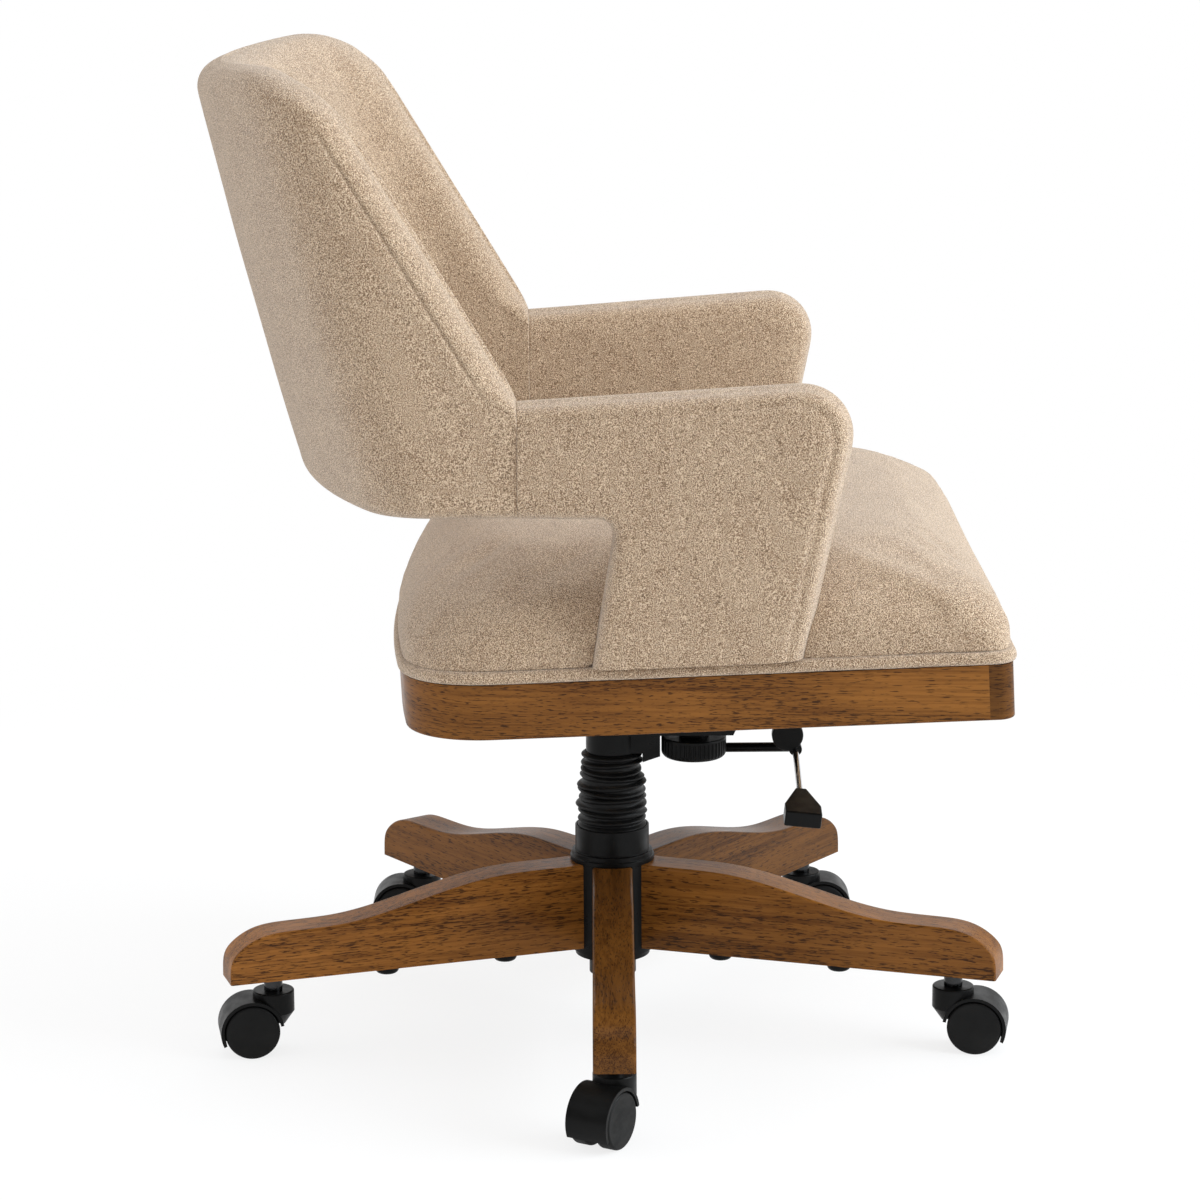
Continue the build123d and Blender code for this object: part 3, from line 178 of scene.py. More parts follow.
class ChairFittings(bpy.types.PropertyGroup):
    """Plastic, rubber and steel."""
    black: FloatVectorProperty(
        name="Black", description="Colour of plastic and coated steel", subtype="COLOR",
        default=(0.0038, 0.0037, 0.0036))
    boot_ribs: IntProperty(
        name="Boot ribs", description="Ribs on the column's boot", default=14, min=4, max=40)
    coil_turns: IntProperty(
        name="Coil turns", description="Turns of the tension spring", default=8, min=3, max=20)


class ChairStage(bpy.types.PropertyGroup):
    """Floor, light and camera."""
    floor: FloatVectorProperty(
        name="Floor", description="Colour of the floor", subtype="COLOR", default=(0.90, 0.90, 0.90))
    lens: FloatProperty(name="Lens", description="Focal length in millimetres", default=107.68, min=10.0)


# Mesh tools

def mesh_object(name, points, faces):
    """Smooth-shaded object from points and faces, with its faces turned outwards."""
    mesh = bpy.data.meshes.new(name)
    mesh.from_pydata(np.asarray(points, float).tolist(), [], faces)
    work = bmesh.new()
    work.from_mesh(mesh)
    bmesh.ops.remove_doubles(work, verts=work.verts, dist=1e-6)
    bmesh.ops.recalc_face_normals(work, faces=work.faces)
    for face in work.faces:
        face.smooth = True
    work.to_mesh(mesh)
    work.free()
    piece = bpy.data.objects.new(name, mesh)
    bpy.context.scene.collection.objects.link(piece)
    return piece


def grid_faces(rows, cols, start=0, closed=False):
    """Quads of a grid of points stored row by row; a closed grid joins its last column to its first."""
    faces = []
    for row in range(rows - 1):
        for col in range(cols if closed else cols - 1):
            after = (col + 1) % cols
            low, high = start + row * cols, start + (row + 1) * cols
            faces.append((low + col, low + after, high + after, high + col))
    return faces


def refine(piece):
    """Adds a subdivision surface."""
    smooth = piece.modifiers.new("Round", "SUBSURF")
    smooth.levels = smooth.render_levels = 1
    return piece


def apply_modifiers(piece):
    """Takes the mesh that a piece's modifiers make as its own."""
    solved = piece.evaluated_get(bpy.context.evaluated_depsgraph_get())
    piece.data = bpy.data.meshes.new_from_object(solved)
    piece.modifiers.clear()


def coordinates(piece):
    """Mesh points of a piece."""
    flat = np.zeros(len(piece.data.vertices) * 3)
    piece.data.vertices.foreach_get("co", flat)
    return flat.reshape(-1, 3)


def move_points(piece, points):
    """Puts a piece's mesh points where they are given."""
    piece.data.vertices.foreach_set("co", points.ravel())
    piece.data.update()


def relax(piece, weight, rounds):
    """Evens out a mesh, each point by its own weight."""
    points = coordinates(piece)
    edges = np.zeros(len(piece.data.edges) * 2, int)
    piece.data.edges.foreach_get("vertices", edges)
    edges = edges.reshape(-1, 2)
    count = np.bincount(edges.ravel(), minlength=len(points))[:, None]
    for _ in range(rounds):
        total = np.zeros_like(points)
        np.add.at(total, edges[:, 0], points[edges[:, 1]])
        np.add.at(total, edges[:, 1], points[edges[:, 0]])
        points += weight[:, None] * (total / count - points)
    move_points(piece, points)


def dress(piece, material, body, slot, *nodes):
    """Gives a new piece its finish, the body it rides on and the solids it stands for."""
    piece.data.materials.append(material)
    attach(piece, body)
    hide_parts(*nodes)
    return piece


def arc(centre, radius, start, end, steps):
    """Points on a circle between two angles counted from +x."""
    turn = np.linspace(start, end, steps)
    return np.stack([centre[0] + radius * np.cos(turn), centre[1] + radius * np.sin(turn)], 1)


def round_corner(corner, back, ahead, radius, steps):
    """Arc that rounds a corner between two directions away from it."""
    half_turn = np.arccos(np.dot(back, ahead)) / 2
    reach = radius / tan(half_turn)
    centre = corner + (back + ahead) / np.linalg.norm(back + ahead) * radius / sin(half_turn)
    start, end = (atan2(*(corner + way * reach - centre)[::-1]) for way in (back, ahead))
    if abs(end - start) > pi:
        end += 2 * pi if end < start else -2 * pi
    return arc(centre, radius, start, end, steps)


def smooth_step(value):
    """Eased share between nought and one."""
    share = np.clip(value, 0.0, 1.0)
    return share**2 * (3 - 2 * share)


def along(line):
    """Distance along a line of points."""
    return np.concatenate([[0.0], np.cumsum(np.linalg.norm(np.diff(line, axis=0), axis=1))])


def at_distance(line, distance):
    """Points of a line at distances along it."""
    run = along(line)
    return np.stack([np.interp(distance, run, line[:, axis]) for axis in range(line.shape[1])], -1)


def spread(near_start, near_end, length, step):
    """Places along a length: close loops near both ends, even steps between."""
    start, end = np.asarray(near_start), length - np.asarray(near_end)[::-1]
    count = max(2, int(round((end[0] - start[-1]) / step)) + 1)
    return np.concatenate([start, np.linspace(start[-1], end[0], count)[1:-1], end])


def ripple(points, size, amount, seed):
    """Gentle unevenness along one axis of noise, a value for each point."""
    flat = points.reshape(-1, 3) / size + seed
    values = np.array([noise.noise(Vector(point)) for point in flat])
    return (amount * values).reshape(points.shape[:-1])


def groove(distance, depth):
    """Dip of a sewn seam at a distance from it."""
    sharp, soft = (np.abs(distance) / SEAM_NARROW) ** 1.5, (distance / SEAM_WIDE) ** 2
    return depth * np.exp(-sharp) + 0.25 * depth * np.exp(-soft)


def pad_shell(outer, inner, margins, rolls, dips, swell, box_puff):
    """Closed pad between an outer and an inner face: rolled edges, seams and swell, and a strip all round."""
    span = inner - outer
    thick = np.linalg.norm(span, axis=2)
    into = span / thick[..., None]
    depth = np.zeros_like(thick)
    for side, margin in margins.items():
        lack = np.clip(1.0 - margin / rolls[side], 0.0, 1.0)
        depth += (rolls[side] * (1.0 - np.sqrt(1.0 - lack**2))) ** 3
    depth = np.minimum(np.cbrt(depth), 0.47 * thick)
    front = outer + into * (depth + dips[0] - swell[0])[..., None]
    rear = inner - into * (depth + dips[1] - swell[1])[..., None]

    rows, cols = thick.shape
    rim = [(0, c) for c in range(cols)] + [(r, cols - 1) for r in range(1, rows)]
    rim += [(rows - 1, c) for c in range(cols - 2, -1, -1)] + [(r, 0) for r in range(rows - 2, 0, -1)]
    rim_row, rim_col = np.array(rim).T
    middle = (outer + inner) / 2
    points = [front.reshape(-1, 3), rear.reshape(-1, 3)]
    faces = grid_faces(rows, cols) + grid_faces(rows, cols, rows * cols)
    line = middle[rim_row, rim_col]
    outward = line - middle[np.clip(rim_row, 1, rows - 2), np.clip(rim_col, 1, cols - 2)]
    outward /= np.maximum(np.linalg.norm(outward, axis=1, keepdims=True), 1e-9)
    run = np.roll(line, -1, 0) - np.roll(line, 1, 0)
    run /= np.linalg.norm(run, axis=1, keepdims=True)
    outward -= run * np.sum(outward * run, axis=1, keepdims=True)
    outward /= np.maximum(np.linalg.norm(outward, axis=1, keepdims=True), 0.02)
    start, end, puff = (values[rim_row, rim_col] for values in (front, rear, box_puff))
    rings = [rim_row * cols + rim_col]
    for ring in range(1, STRIP_SEGMENTS):
        share = ring / STRIP_SEGMENTS
        swollen = start + (end - start) * share + outward * (puff * sin(pi * share))[:, None]
        rings.append(2 * rows * cols + (ring - 1) * len(rim) + np.arange(len(rim)))
        points.append(swollen)
    rings.append(rows * cols + rings[0])
    for low, high in zip(rings, rings[1:]):
        for n in range(len(rim)):
            m = (n + 1) % len(rim)
            faces.append((int(low[n]), int(low[m]), int(high[m]), int(high[n])))
    return np.concatenate(points), faces


def puff_with_cloth(piece, held):
    """Blows a pad up as cloth with some points held, and keeps each point within a cap of where it was."""
    group = piece.vertex_groups.new(name="held")
    for index, weight in enumerate(held):
        if weight > 0.001:
            group.add([index], float(min(weight, 1.0)), "REPLACE")
    before = coordinates(piece)
    cloth = piece.modifiers.new("Cloth", "CLOTH")
    settings = cloth.settings
    settings.quality = 5
    settings.mass = 0.3
    settings.tension_stiffness = settings.compression_stiffness = 12.0
    settings.shear_stiffness = 6.0
    settings.bending_stiffness = 0.8
    settings.use_pressure = True
    settings.uniform_pressure_force = CUSHION_PRESSURE
    settings.vertex_group_mass = "held"
    settings.effector_weights.gravity = 0.0
    cloth.collision_settings.use_collision = False
    cloth.point_cache.frame_start, cloth.point_cache.frame_end = 1, CLOTH_FRAMES
    scene = bpy.context.scene
    for number in range(1, CLOTH_FRAMES + 1):
        scene.frame_set(number)
    after = coordinates(piece.evaluated_get(bpy.context.evaluated_depsgraph_get()))
    piece.modifiers.remove(cloth)
    piece.vertex_groups.remove(group)
    scene.frame_set(1)
    move = after - before
    length = np.linalg.norm(move, axis=1, keepdims=True)
    move_points(piece, before + move * np.minimum(1.0, CUSHION_PUFF / np.maximum(length, 1e-9)))


# Shader tools

def feed(tree, socket, value):
    """Links an input to a socket, or sets its number, vector or colour."""
    if isinstance(value, bpy.types.NodeSocket):
        tree.links.new(value, socket)
    elif socket.type == "RGBA":
        socket.default_value = (*value[:3], 1.0)
    else:
        socket.default_value = value


def new_node(tree, kind, values=None, **settings):
    """Node with settings and input values; a value that is a socket is linked."""
    made = tree.nodes.new(kind)
    for key, value in settings.items():
        setattr(made, key, value)
    for key, value in (values or {}).items():
        feed(tree, made.inputs[key], value)
    return made


def maths(tree, operation, first, second=0.0, clamp=False):
    """Maths node's value."""
    values = {0: first, 1: second}
    return new_node(tree, "ShaderNodeMath", values, operation=operation, use_clamp=clamp).outputs[0]


def vector_maths(tree, operation, first, second):
    """Vector maths node's vector."""
    return new_node(tree, "ShaderNodeVectorMath", {0: first, 1: second}, operation=operation).outputs[0]


def object_place(tree):
    """Place on the piece, in metres."""
    return new_node(tree, "ShaderNodeTexCoord").outputs["Object"]


def step_between(tree, value, low, high, to_low=0.0, to_high=1.0):
    """Smooth step of a value between two limits."""
    limits = {0: value, 1: low, 2: high, 3: to_low, 4: to_high}
    return new_node(tree, "ShaderNodeMapRange", limits, interpolation_type="SMOOTHSTEP").outputs[0]


def colour_mix(tree, share, first, second):
    """Mix of two colours."""
    return new_node(tree, "ShaderNodeMix", {0: share, 6: first, 7: second}, data_type="RGBA").outputs[2]


def noise_at(tree, vector, scale, detail=3.0, roughness=0.5, distortion=0.0):
    """Noise value at a vector."""
    values = {"Vector": vector, "Scale": scale, "Detail": detail, "Roughness": roughness,
              "Distortion": distortion}
    return new_node(tree, "ShaderNodeTexNoise", values).outputs["Fac"]


def stretched_noise(tree, vector, per_metre, detail, roughness=0.5, distortion=0.0):
    """Noise value with its own scale along each axis."""
    stretched = vector_maths(tree, "MULTIPLY", vector, per_metre)
    return noise_at(tree, stretched, 1.0, detail, roughness, distortion)


FLOAT, COLOUR, VECTOR = "NodeSocketFloat", "NodeSocketColor", "NodeSocketVector"
SURFACE = {"Color": COLOUR, "Height": FLOAT, "Roughness": FLOAT}


def surface_group(name, inputs, surface):
    """Shader group whose outputs are a surface's colour, height and roughness."""
    group = bpy.data.node_groups.new(name, "ShaderNodeTree")
    for way, sockets in (("INPUT", inputs), ("OUTPUT", SURFACE)):
        for label, kind in sockets.items():
            group.interface.new_socket(name=label, in_out=way, socket_type=kind)
    given, made = group.nodes.new("NodeGroupInput"), group.nodes.new("NodeGroupOutput")
    for label, value in zip(SURFACE, surface(group, given.outputs)):
        group.links.new(value, made.inputs[label])
    return group


def chenille(group, given):
    """Nubby weave: nubs lighter in yarn colour and with a painted highlight on the raised nubs, painted shade
    in the gaps between them, slow mottling and a nap height.
    """
    place = object_place(group)
    per_metre = maths(group, "DIVIDE", 1.0, given["Nub"])
    grain = noise_at(group, place, per_metre, 1.0, 0.6)
    nubs = new_node(group, "ShaderNodeTexVoronoi", {"Vector": place, "Scale": per_metre})
    tuft = new_node(group, "ShaderNodeSeparateColor", {0: nubs.outputs["Color"]}).outputs[0]
    fleck = maths(group, "MULTIPLY", step_between(group, tuft, 0.80, 1.0),
                  step_between(group, nubs.outputs["Distance"], 0.60, 0.25))
    # Painted shade: the low places of the nap take the dark yarn colour.
    hollow_shade = step_between(group, grain, 0.49, 0.35)
    # Raised places of the nap take the light colour as a painted highlight; the flecks are lighter yarn.
    nub_yarn_and_highlight = maths(group, "MAXIMUM", step_between(group, grain, 0.50, 0.62), fleck)
    cloud = noise_at(group, place, 30.0, 2.0, 0.5)
    slub = stretched_noise(group, place, (130.0, 130.0, 700.0), 1.0)
    mottle = step_between(group, cloud, 0.28, 0.74, 0.0, 0.18)
    body = colour_mix(group, mottle, given["Ground"], given["Light"])
    body = colour_mix(group, step_between(group, slub, 0.40, 0.72, 0.0, 0.10), body, given["Dark"])
    lit = colour_mix(group, maths(group, "MULTIPLY", nub_yarn_and_highlight, 0.9), body, given["Light"])
    # Mixes in the painted shade of the hollows.
    colour = colour_mix(group, maths(group, "MULTIPLY", hollow_shade, 0.80), lit, given["Dark"])
    height = maths(group, "ADD", grain, maths(group, "MULTIPLY", fleck, 0.3))
    height = maths(group, "ADD", height, maths(group, "MULTIPLY", slub, 0.2))
    return colour, height, step_between(group, cloud, 0.2, 0.8, 0.82, 0.96)


def wood_grain(group, given):
    """Stained wood along the vector's x: growth bands, fine streaks and short open pores."""
    place = given["Vector"]
    bands = stretched_noise(group, place, (2.6, 34.0, 34.0), 4.0, 0.55, 0.6)
    streaks = stretched_noise(group, place, (9.0, 320.0, 320.0), 4.0, 0.65)
    cloud = stretched_noise(group, place, (7.0, 16.0, 16.0), 2.0)
    pores = stretched_noise(group, place, (95.0, 960.0, 960.0), 2.0)
    crowd = step_between(group, bands, 0.40, 0.66, 0.045, -0.03)
    pore = step_between(group, maths(group, "SUBTRACT", pores, crowd), 0.545, 0.612)
    shade = maths(group, "ADD", step_between(group, bands, 0.36, 0.68, 0.0, 0.46),
                  step_between(group, streaks, 0.40, 0.68, 0.0, 0.55), True)
    stain = colour_mix(group, shade, given["Tone"], given["Dark"])
    stain = colour_mix(group, step_between(group, cloud, 0.35, 0.75, 0.0, 0.30), stain, given["Dark"])
    colour = colour_mix(group, maths(group, "MULTIPLY", pore, 0.82), stain, given["Pore"])
    height = maths(group, "SUBTRACT", maths(group, "MULTIPLY", streaks, 0.25), pore)
    return colour, height, step_between(group, cloud, 0.2, 0.8, 0.30, 0.44)


def moulded(group, given):
    """Moulded or coated surface: fine texture, handling marks in the gloss and dust in slow patches."""
    place = object_place(group)
    grit = noise_at(group, place, given["Texture"], 2.0)
    marks = stretched_noise(group, place, (60.0, 60.0, 95.0), 4.0, 0.6)
    patches = noise_at(group, place, 21.0, 3.0)
    dusty = step_between(group, patches, 0.38, 0.80, 0.0, 0.5)
    uneven = step_between(group, marks, 0.25, 0.75, -0.08, 0.10)
    gloss = maths(group, "ADD", given["Gloss"], uneven, True)
    return colour_mix(group, dusty, given["Base"], given["Dust"]), grit, gloss


GROUPS = {
    "Chenille weave": (chenille, {"Ground": COLOUR, "Light": COLOUR, "Dark": COLOUR, "Nub": FLOAT}),
    "Wood grain": (wood_grain, {"Vector": VECTOR, "Tone": COLOUR, "Dark": COLOUR, "Pore": COLOUR}),
    "Moulded surface": (moulded, {"Base": COLOUR, "Dust": COLOUR, "Texture": FLOAT, "Gloss": FLOAT}),
}


def new_material(name, group, values, bump, bump_height, **sockets):
    """Principled material fed by a shared group; a value that is a function of the tree makes its socket."""
    material = bpy.data.materials.new(name)
    material.use_nodes = True
    tree = material.node_tree
    shader = tree.nodes["Principled BSDF"]
    surface, inputs = GROUPS[group]
    shared = bpy.data.node_groups.get(group) or surface_group(group, inputs, surface)
    values = {label: value(tree) if callable(value) else value for label, value in values.items()}
    placed = new_node(tree, "ShaderNodeGroup", values, node_tree=shared).outputs
    raised = {"Height": placed["Height"], "Strength": bump, "Distance": bump_height}
    tree.links.new(placed["Color"], shader.inputs["Base Color"])
    tree.links.new(placed["Roughness"], shader.inputs["Roughness"])
    tree.links.new(new_node(tree, "ShaderNodeBump", raised).outputs[0], shader.inputs["Normal"])
    for label, value in sockets.items():
        shader.inputs[label.replace("_", " ")].default_value = value
    return material


def fabric_material():
    """Oatmeal chenille of all the soft pieces."""
    cloth = bpy.context.scene.chair_fabric
    values = {"Ground": cloth.ground, "Light": cloth.light, "Dark": cloth.dark, "Nub": cloth.nub}
    return bpy.data.materials.get("oatmeal_chenille") or new_material(
        "oatmeal_chenille", "Chenille weave", values, 1.0, 0.0013, Sheen_Weight=0.4, Sheen_Roughness=0.5,
        Sheen_Tint=(1.0, 0.98, 0.96, 1.0), Specular_IOR_Level=0.1)


def wood_material(name, aim, depth):
    """Lacquered wood; aim makes the vector whose x runs along the grain, depth is the stain's strength, which
    on some legs and the front board is partly painted shade.
    """
    wood = bpy.context.scene.chair_wood
    tone, dark = (tuple(channel / depth for channel in colour) for colour in (wood.tone, wood.dark))
    values = {"Vector": aim, "Tone": tone, "Dark": dark, "Pore": wood.pore}
    return new_material(name, "Wood grain", values, 0.22, 0.0004, Coat_Weight=LACQUER, Coat_Roughness=0.22,
                        Specular_IOR_Level=0.05)


def moulded_material(name, base, dust, texture, gloss, bump, bump_height, **sockets):
    """Plastic, rubber or metal with a moulded or turned surface."""
    values = {"Base": base, "Dust": dust, "Texture": texture, "Gloss": gloss}
    return new_material(name, "Moulded surface", values, bump, bump_height, **sockets)


def straight_grain(heading, shift):
    """Vector along a heading in plan, shifted so that each piece is its own board."""
    def aim(tree):
        turn = {"Vector": object_place(tree), "Angle": -radians(heading)}
        turned = new_node(tree, "ShaderNodeVectorRotate", turn, rotation_type="Z_AXIS").outputs[0]
        return vector_maths(tree, "ADD", turned, shift)
    return aim


def run_grain(run_at, shift):
    """Vector whose x is a run worked out from a place in plan."""
    def aim(tree):
        x, y, z = new_node(tree, "ShaderNodeSeparateXYZ", {0: object_place(tree)}).outputs
        made = new_node(tree, "ShaderNodeCombineXYZ", {0: run_at(tree, x, y), 1: 0.0, 2: z}).outputs[0]
        return vector_maths(tree, "ADD", made, shift)
    return aim


def round_seat(tree, x, y):
    """Run round the bent rail: the angle round the seat times a reach."""
    turn = maths(tree, "ARCTAN2", x, maths(tree, "ADD", y, GRAIN_CENTRE))
    return maths(tree, "MULTIPLY", turn, GRAIN_REACH)


def round_ends(tree, x, y):
    """Run along the front board and on round its ends."""
    return maths(tree, "SUBTRACT", x, y)


def paint(finish, *nodes):
    """Gives solids that show as they are a finish."""
    for node in nodes:
        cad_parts[node].data.materials[0] = finish


# Upholstery

def back_plan(depth):
    """Plan of half the back at a depth inside its outer face, from the rear's middle round to the wing."""
    half, bow, rear = BACK_HALF - depth, BACK_BOW - depth, BACK_REAR - depth
    corner = BACK_CORNER + (BACK_INNER_CORNER - BACK_CORNER) * depth / BACK_THICK
    middle = rear - bow
    side = half - corner
    ahead = sqrt((bow - corner) ** 2 - side**2)
    meet = atan2(ahead, side)
    rear_arc = arc((0.0, middle), bow, pi / 2, meet, 60)
    turn = arc((side, middle + ahead), corner, meet, 0.0, 30)
    wing = np.array([[half, middle + ahead - 0.01 * n] for n in range(1, 40)])
    return np.concatenate([rear_arc, turn[1:], wing])


def back_side_view():
    """Front edge of the back in side view up to the middle of its top corner, and the top edge's height."""
    slope = (WING_TOP[0] - JOINT_Y) / (WING_TOP[1] - JOINT_TOP)
    corner = np.array([JOINT_Y + (BACK_TOP - JOINT_TOP) * slope, BACK_TOP])
    down = np.array([-slope, -1.0]) / hypot(slope, 1.0)
    rearward = np.array([1.0, -BACK_FALL]) / hypot(1.0, BACK_FALL)
    whole = round_corner(corner, down, rearward, WING_ROUND, 41)
    edge = np.concatenate([[[JOINT_Y, BACK_LOW], [JOINT_Y, JOINT_TOP]], whole[:21]])
    top = np.concatenate([whole[20:], [whole[-1] + rearward * 0.4]])
    lean = (whole[21, 1] - whole[20, 1]) / (whole[21, 0] - whole[20, 0])

    def top_z(y):
        ahead = np.minimum(y - top[0, 0], 0.0)
        return np.interp(y, top[:, 0], top[:, 1]) + lean * ahead

    return at_distance(edge, np.linspace(0, along(edge)[-1], 400)), top_z


def back_faces():
    """Points of the back's outer and inner faces, and each point's distance from the four edges."""
    edge, top_z = back_side_view()
    shares = (edge[:, 1] - BACK_LOW) / (top_z(edge[:, 0]) - BACK_LOW)
    height = BACK_TOP - BACK_LOW
    levels = spread(EDGE_LOOPS, EDGE_LOOPS, height, 0.0095) / height
    half_count = 40
    faces = []
    for depth in (0.0, BACK_THICK):
        plan = back_plan(depth)
        run = along(plan)

        def lift(place, level):
            rise = np.full(len(place), 0.2)
            for _ in range(12):
                rise = level * (top_z(place[:, 1] + rise * BACK_LEAN) - BACK_LOW)
            return np.stack([place[:, 0], place[:, 1] + rise * BACK_LEAN, BACK_LOW + rise], 1)

        rows, margins = [], []
        for level in levels:
            y = np.interp(level, shares, edge[:, 0])
            z = np.interp(level, shares, edge[:, 1])
            plan_y = y - (z - BACK_LOW) * BACK_LEAN
            end = np.interp(-plan_y, -plan[:, 1], run)
            probe = lift(at_distance(plan, np.array([end - 0.004, end])), level)
            nearest = np.min(np.hypot(edge[:, 0] - probe[0, 1], edge[:, 1] - probe[0, 2]))
            square = min(1.0, max(0.55, nearest / 0.004))
            near = end - np.array(EDGE_LOOPS) / square
            distance = np.concatenate([near, np.linspace(near[-1], 0.0, half_count)[1:]])
            half_row = lift(at_distance(plan, distance), level)
            other = half_row[:-1][::-1] * np.array([-1.0, 1.0, 1.0])
            rows.append(np.concatenate([half_row, other]))
            margin = (end - distance) * square
            margins.append(np.concatenate([margin, np.full(len(margin) - 1, 9.0)]))
        faces.append(np.array(rows))
    start = np.array(margins)
    upward = np.repeat(levels[:, None] * height, start.shape[1], 1)
    return faces, {"start": start, "end": start[:, ::-1], "low": upward, "high": height - upward}


def arm_side_view():
    """Upper and lower edges of an arm in side view, from the joint to the foot, with their bend's place."""
    def foot_z(y):
        return RAIL_BOTTOM_Z + FOOT_H / cos(SEAT_PITCH) - tan(SEAT_PITCH) * y

    def bent(points, radius):
        first, corner, last = (np.array(p, float) for p in points)
        back = (first - corner) / np.linalg.norm(first - corner)
        ahead = (last - corner) / np.linalg.norm(last - corner)
        line = np.concatenate([[first], round_corner(corner, back, ahead, radius, 25), [last]])
        return line, along(line)[13]

    upper = bent([(JOINT_Y, JOINT_TOP), ARM_TIP, (ARM_FOOT_FRONT, foot_z(ARM_FOOT_FRONT))], ARM_TIP_R)
    lower = bent([(JOINT_Y, BACK_LOW), ARM_NOOK, (ARM_FOOT_REAR, foot_z(ARM_FOOT_REAR))], ARM_NOOK_R)
    return upper, lower


def arm_faces(way):
    """Points of an arm's outer and inner faces, and each point's distance from its edges."""
    (upper, upper_bend), (lower, lower_bend) = arm_side_view()
    upper_run, lower_run = along(upper)[-1], along(lower)[-1]
    bend_share = 0.52
    first = spread(END_LOOPS, (0.0,), upper_bend, 0.0085)
    second = spread((0.0,), END_LOOPS, upper_run - upper_bend, 0.0085) + upper_bend
    travel = np.concatenate([first, second[1:]])
    share = np.where(travel <= upper_bend, travel / upper_bend * bend_share,
                     bend_share + (travel - upper_bend) / (upper_run - upper_bend) * (1 - bend_share))
    lower_travel = np.where(share <= bend_share, share / bend_share * lower_bend,
                            lower_bend + (share - bend_share) / (1 - bend_share) * (lower_run - lower_bend))
    tops, lows = at_distance(upper, travel), at_distance(lower, lower_travel)
    tangent = np.gradient(tops, axis=0)
    side_rows, start, end = [], [], []
    for row, (top, low) in enumerate(zip(tops, lows)):
        across = low - top
        length = np.linalg.norm(across)
        heading = tangent[row] / np.linalg.norm(tangent[row])
        square = max(0.6, abs(np.cross(across / length, heading)))
        places = np.concatenate([
            np.array(EDGE_LOOPS) / square,
            np.linspace(EDGE_LOOPS[-1] / square, length - 0.02, 18)[1:-1],
            length - np.array([.02, .014, .009, .005, .0022, .0006, 0.0]),
        ])
        side_rows.append(top + across * (places / length)[:, None])
        start.append(places * square)
        end.append(length - places)
    side = np.array(side_rows)
    side[0, :, 0] += SEWN_IN
    fore, aft = np.cos(SEAT_TAPER), np.sin(SEAT_TAPER)
    out = np.array([way * fore, aft, 0.0])
    back = np.array([-way * aft, fore, 0.0])
    fade = smooth_step((side[..., 0] - JOINT_Y + 0.06) / 0.06)
    faces = []
    for depth in (0.0, ARM_THICK):
        place = np.array([way * BACK_HALF, JOINT_Y, 0.0]) - out * depth
        point = place + back * (side[..., 0] - JOINT_Y)[..., None]
        point[..., 1] += fade * depth * aft
        point[..., 2] = side[..., 1]
        faces.append(point)
    from_joint = np.repeat(travel[:, None], side.shape[1], 1)
    edges = {"start": np.array(start), "end": np.array(end)}
    return faces, {**edges, "low": from_joint, "high": upper_run - from_joint}


def seat_outline(inset, front_inset, ease, count):
    """Plan of the seat drawn in by insets, with even steps from the rear's middle all round."""
    front, rear = -SEAT_FRONT + front_inset, SEAT_REAR - inset
    side_y = rear - SEAT_BOW
    taper = tan(SEAT_TAPER)
    half_rear = SEAT_FRONT_HALF - (side_y + SEAT_FRONT) * taper - inset
    bow = (half_rear**2 + SEAT_BOW**2) / (2 * SEAT_BOW)
    middle = np.array([0.0, rear - bow])
    normal = np.array([cos(SEAT_TAPER), sin(SEAT_TAPER)])
    tangent = np.array([-sin(SEAT_TAPER), cos(SEAT_TAPER)])
    radius = max(REAR_CORNER - inset, LEAST_CORNER) + ease
    shift = np.array([half_rear, side_y]) - radius * normal - middle
    lean = np.dot(shift, tangent)
    centre = middle + shift + tangent * (-lean + sqrt(lean**2 - np.dot(shift, shift) + (bow - radius) ** 2))
    meet = atan2(*(centre - middle)[::-1])
    rear_arc = arc(middle, bow, pi / 2, meet, 30)
    turn = arc(centre, radius, meet, SEAT_TAPER, 24)
    small = max(FRONT_CORNER - inset, LEAST_CORNER) + ease
    low_y = front + small
    low_x = half_rear + (side_y - low_y) * taper - small / cos(SEAT_TAPER)
    nose = arc((low_x, low_y), small, SEAT_TAPER, -pi / 2, 20)
    half = np.concatenate([rear_arc, turn, nose, [[0.0, front]]])
    ring = np.concatenate([half, half[1:-1][::-1] * np.array([-1.0, 1.0]), half[:1]])
    keep = np.concatenate([[True], np.linalg.norm(np.diff(ring, axis=0), axis=1) > 1e-7])
    ring = ring[keep]
    return at_distance(ring, np.linspace(0.0, along(ring)[-1], count + 1)[:-1])


def on_seat(plan, height):
    """Places a plan of the seat at a height above the rail's underside."""
    height = np.broadcast_to(height, plan.shape[:-1])
    y = plan[..., 1] * cos(SEAT_PITCH) + height * sin(SEAT_PITCH)
    z = RAIL_BOTTOM_Z - plan[..., 1] * sin(SEAT_PITCH) + height * cos(SEAT_PITCH)
    return np.stack([plan[..., 0], y, z], -1)


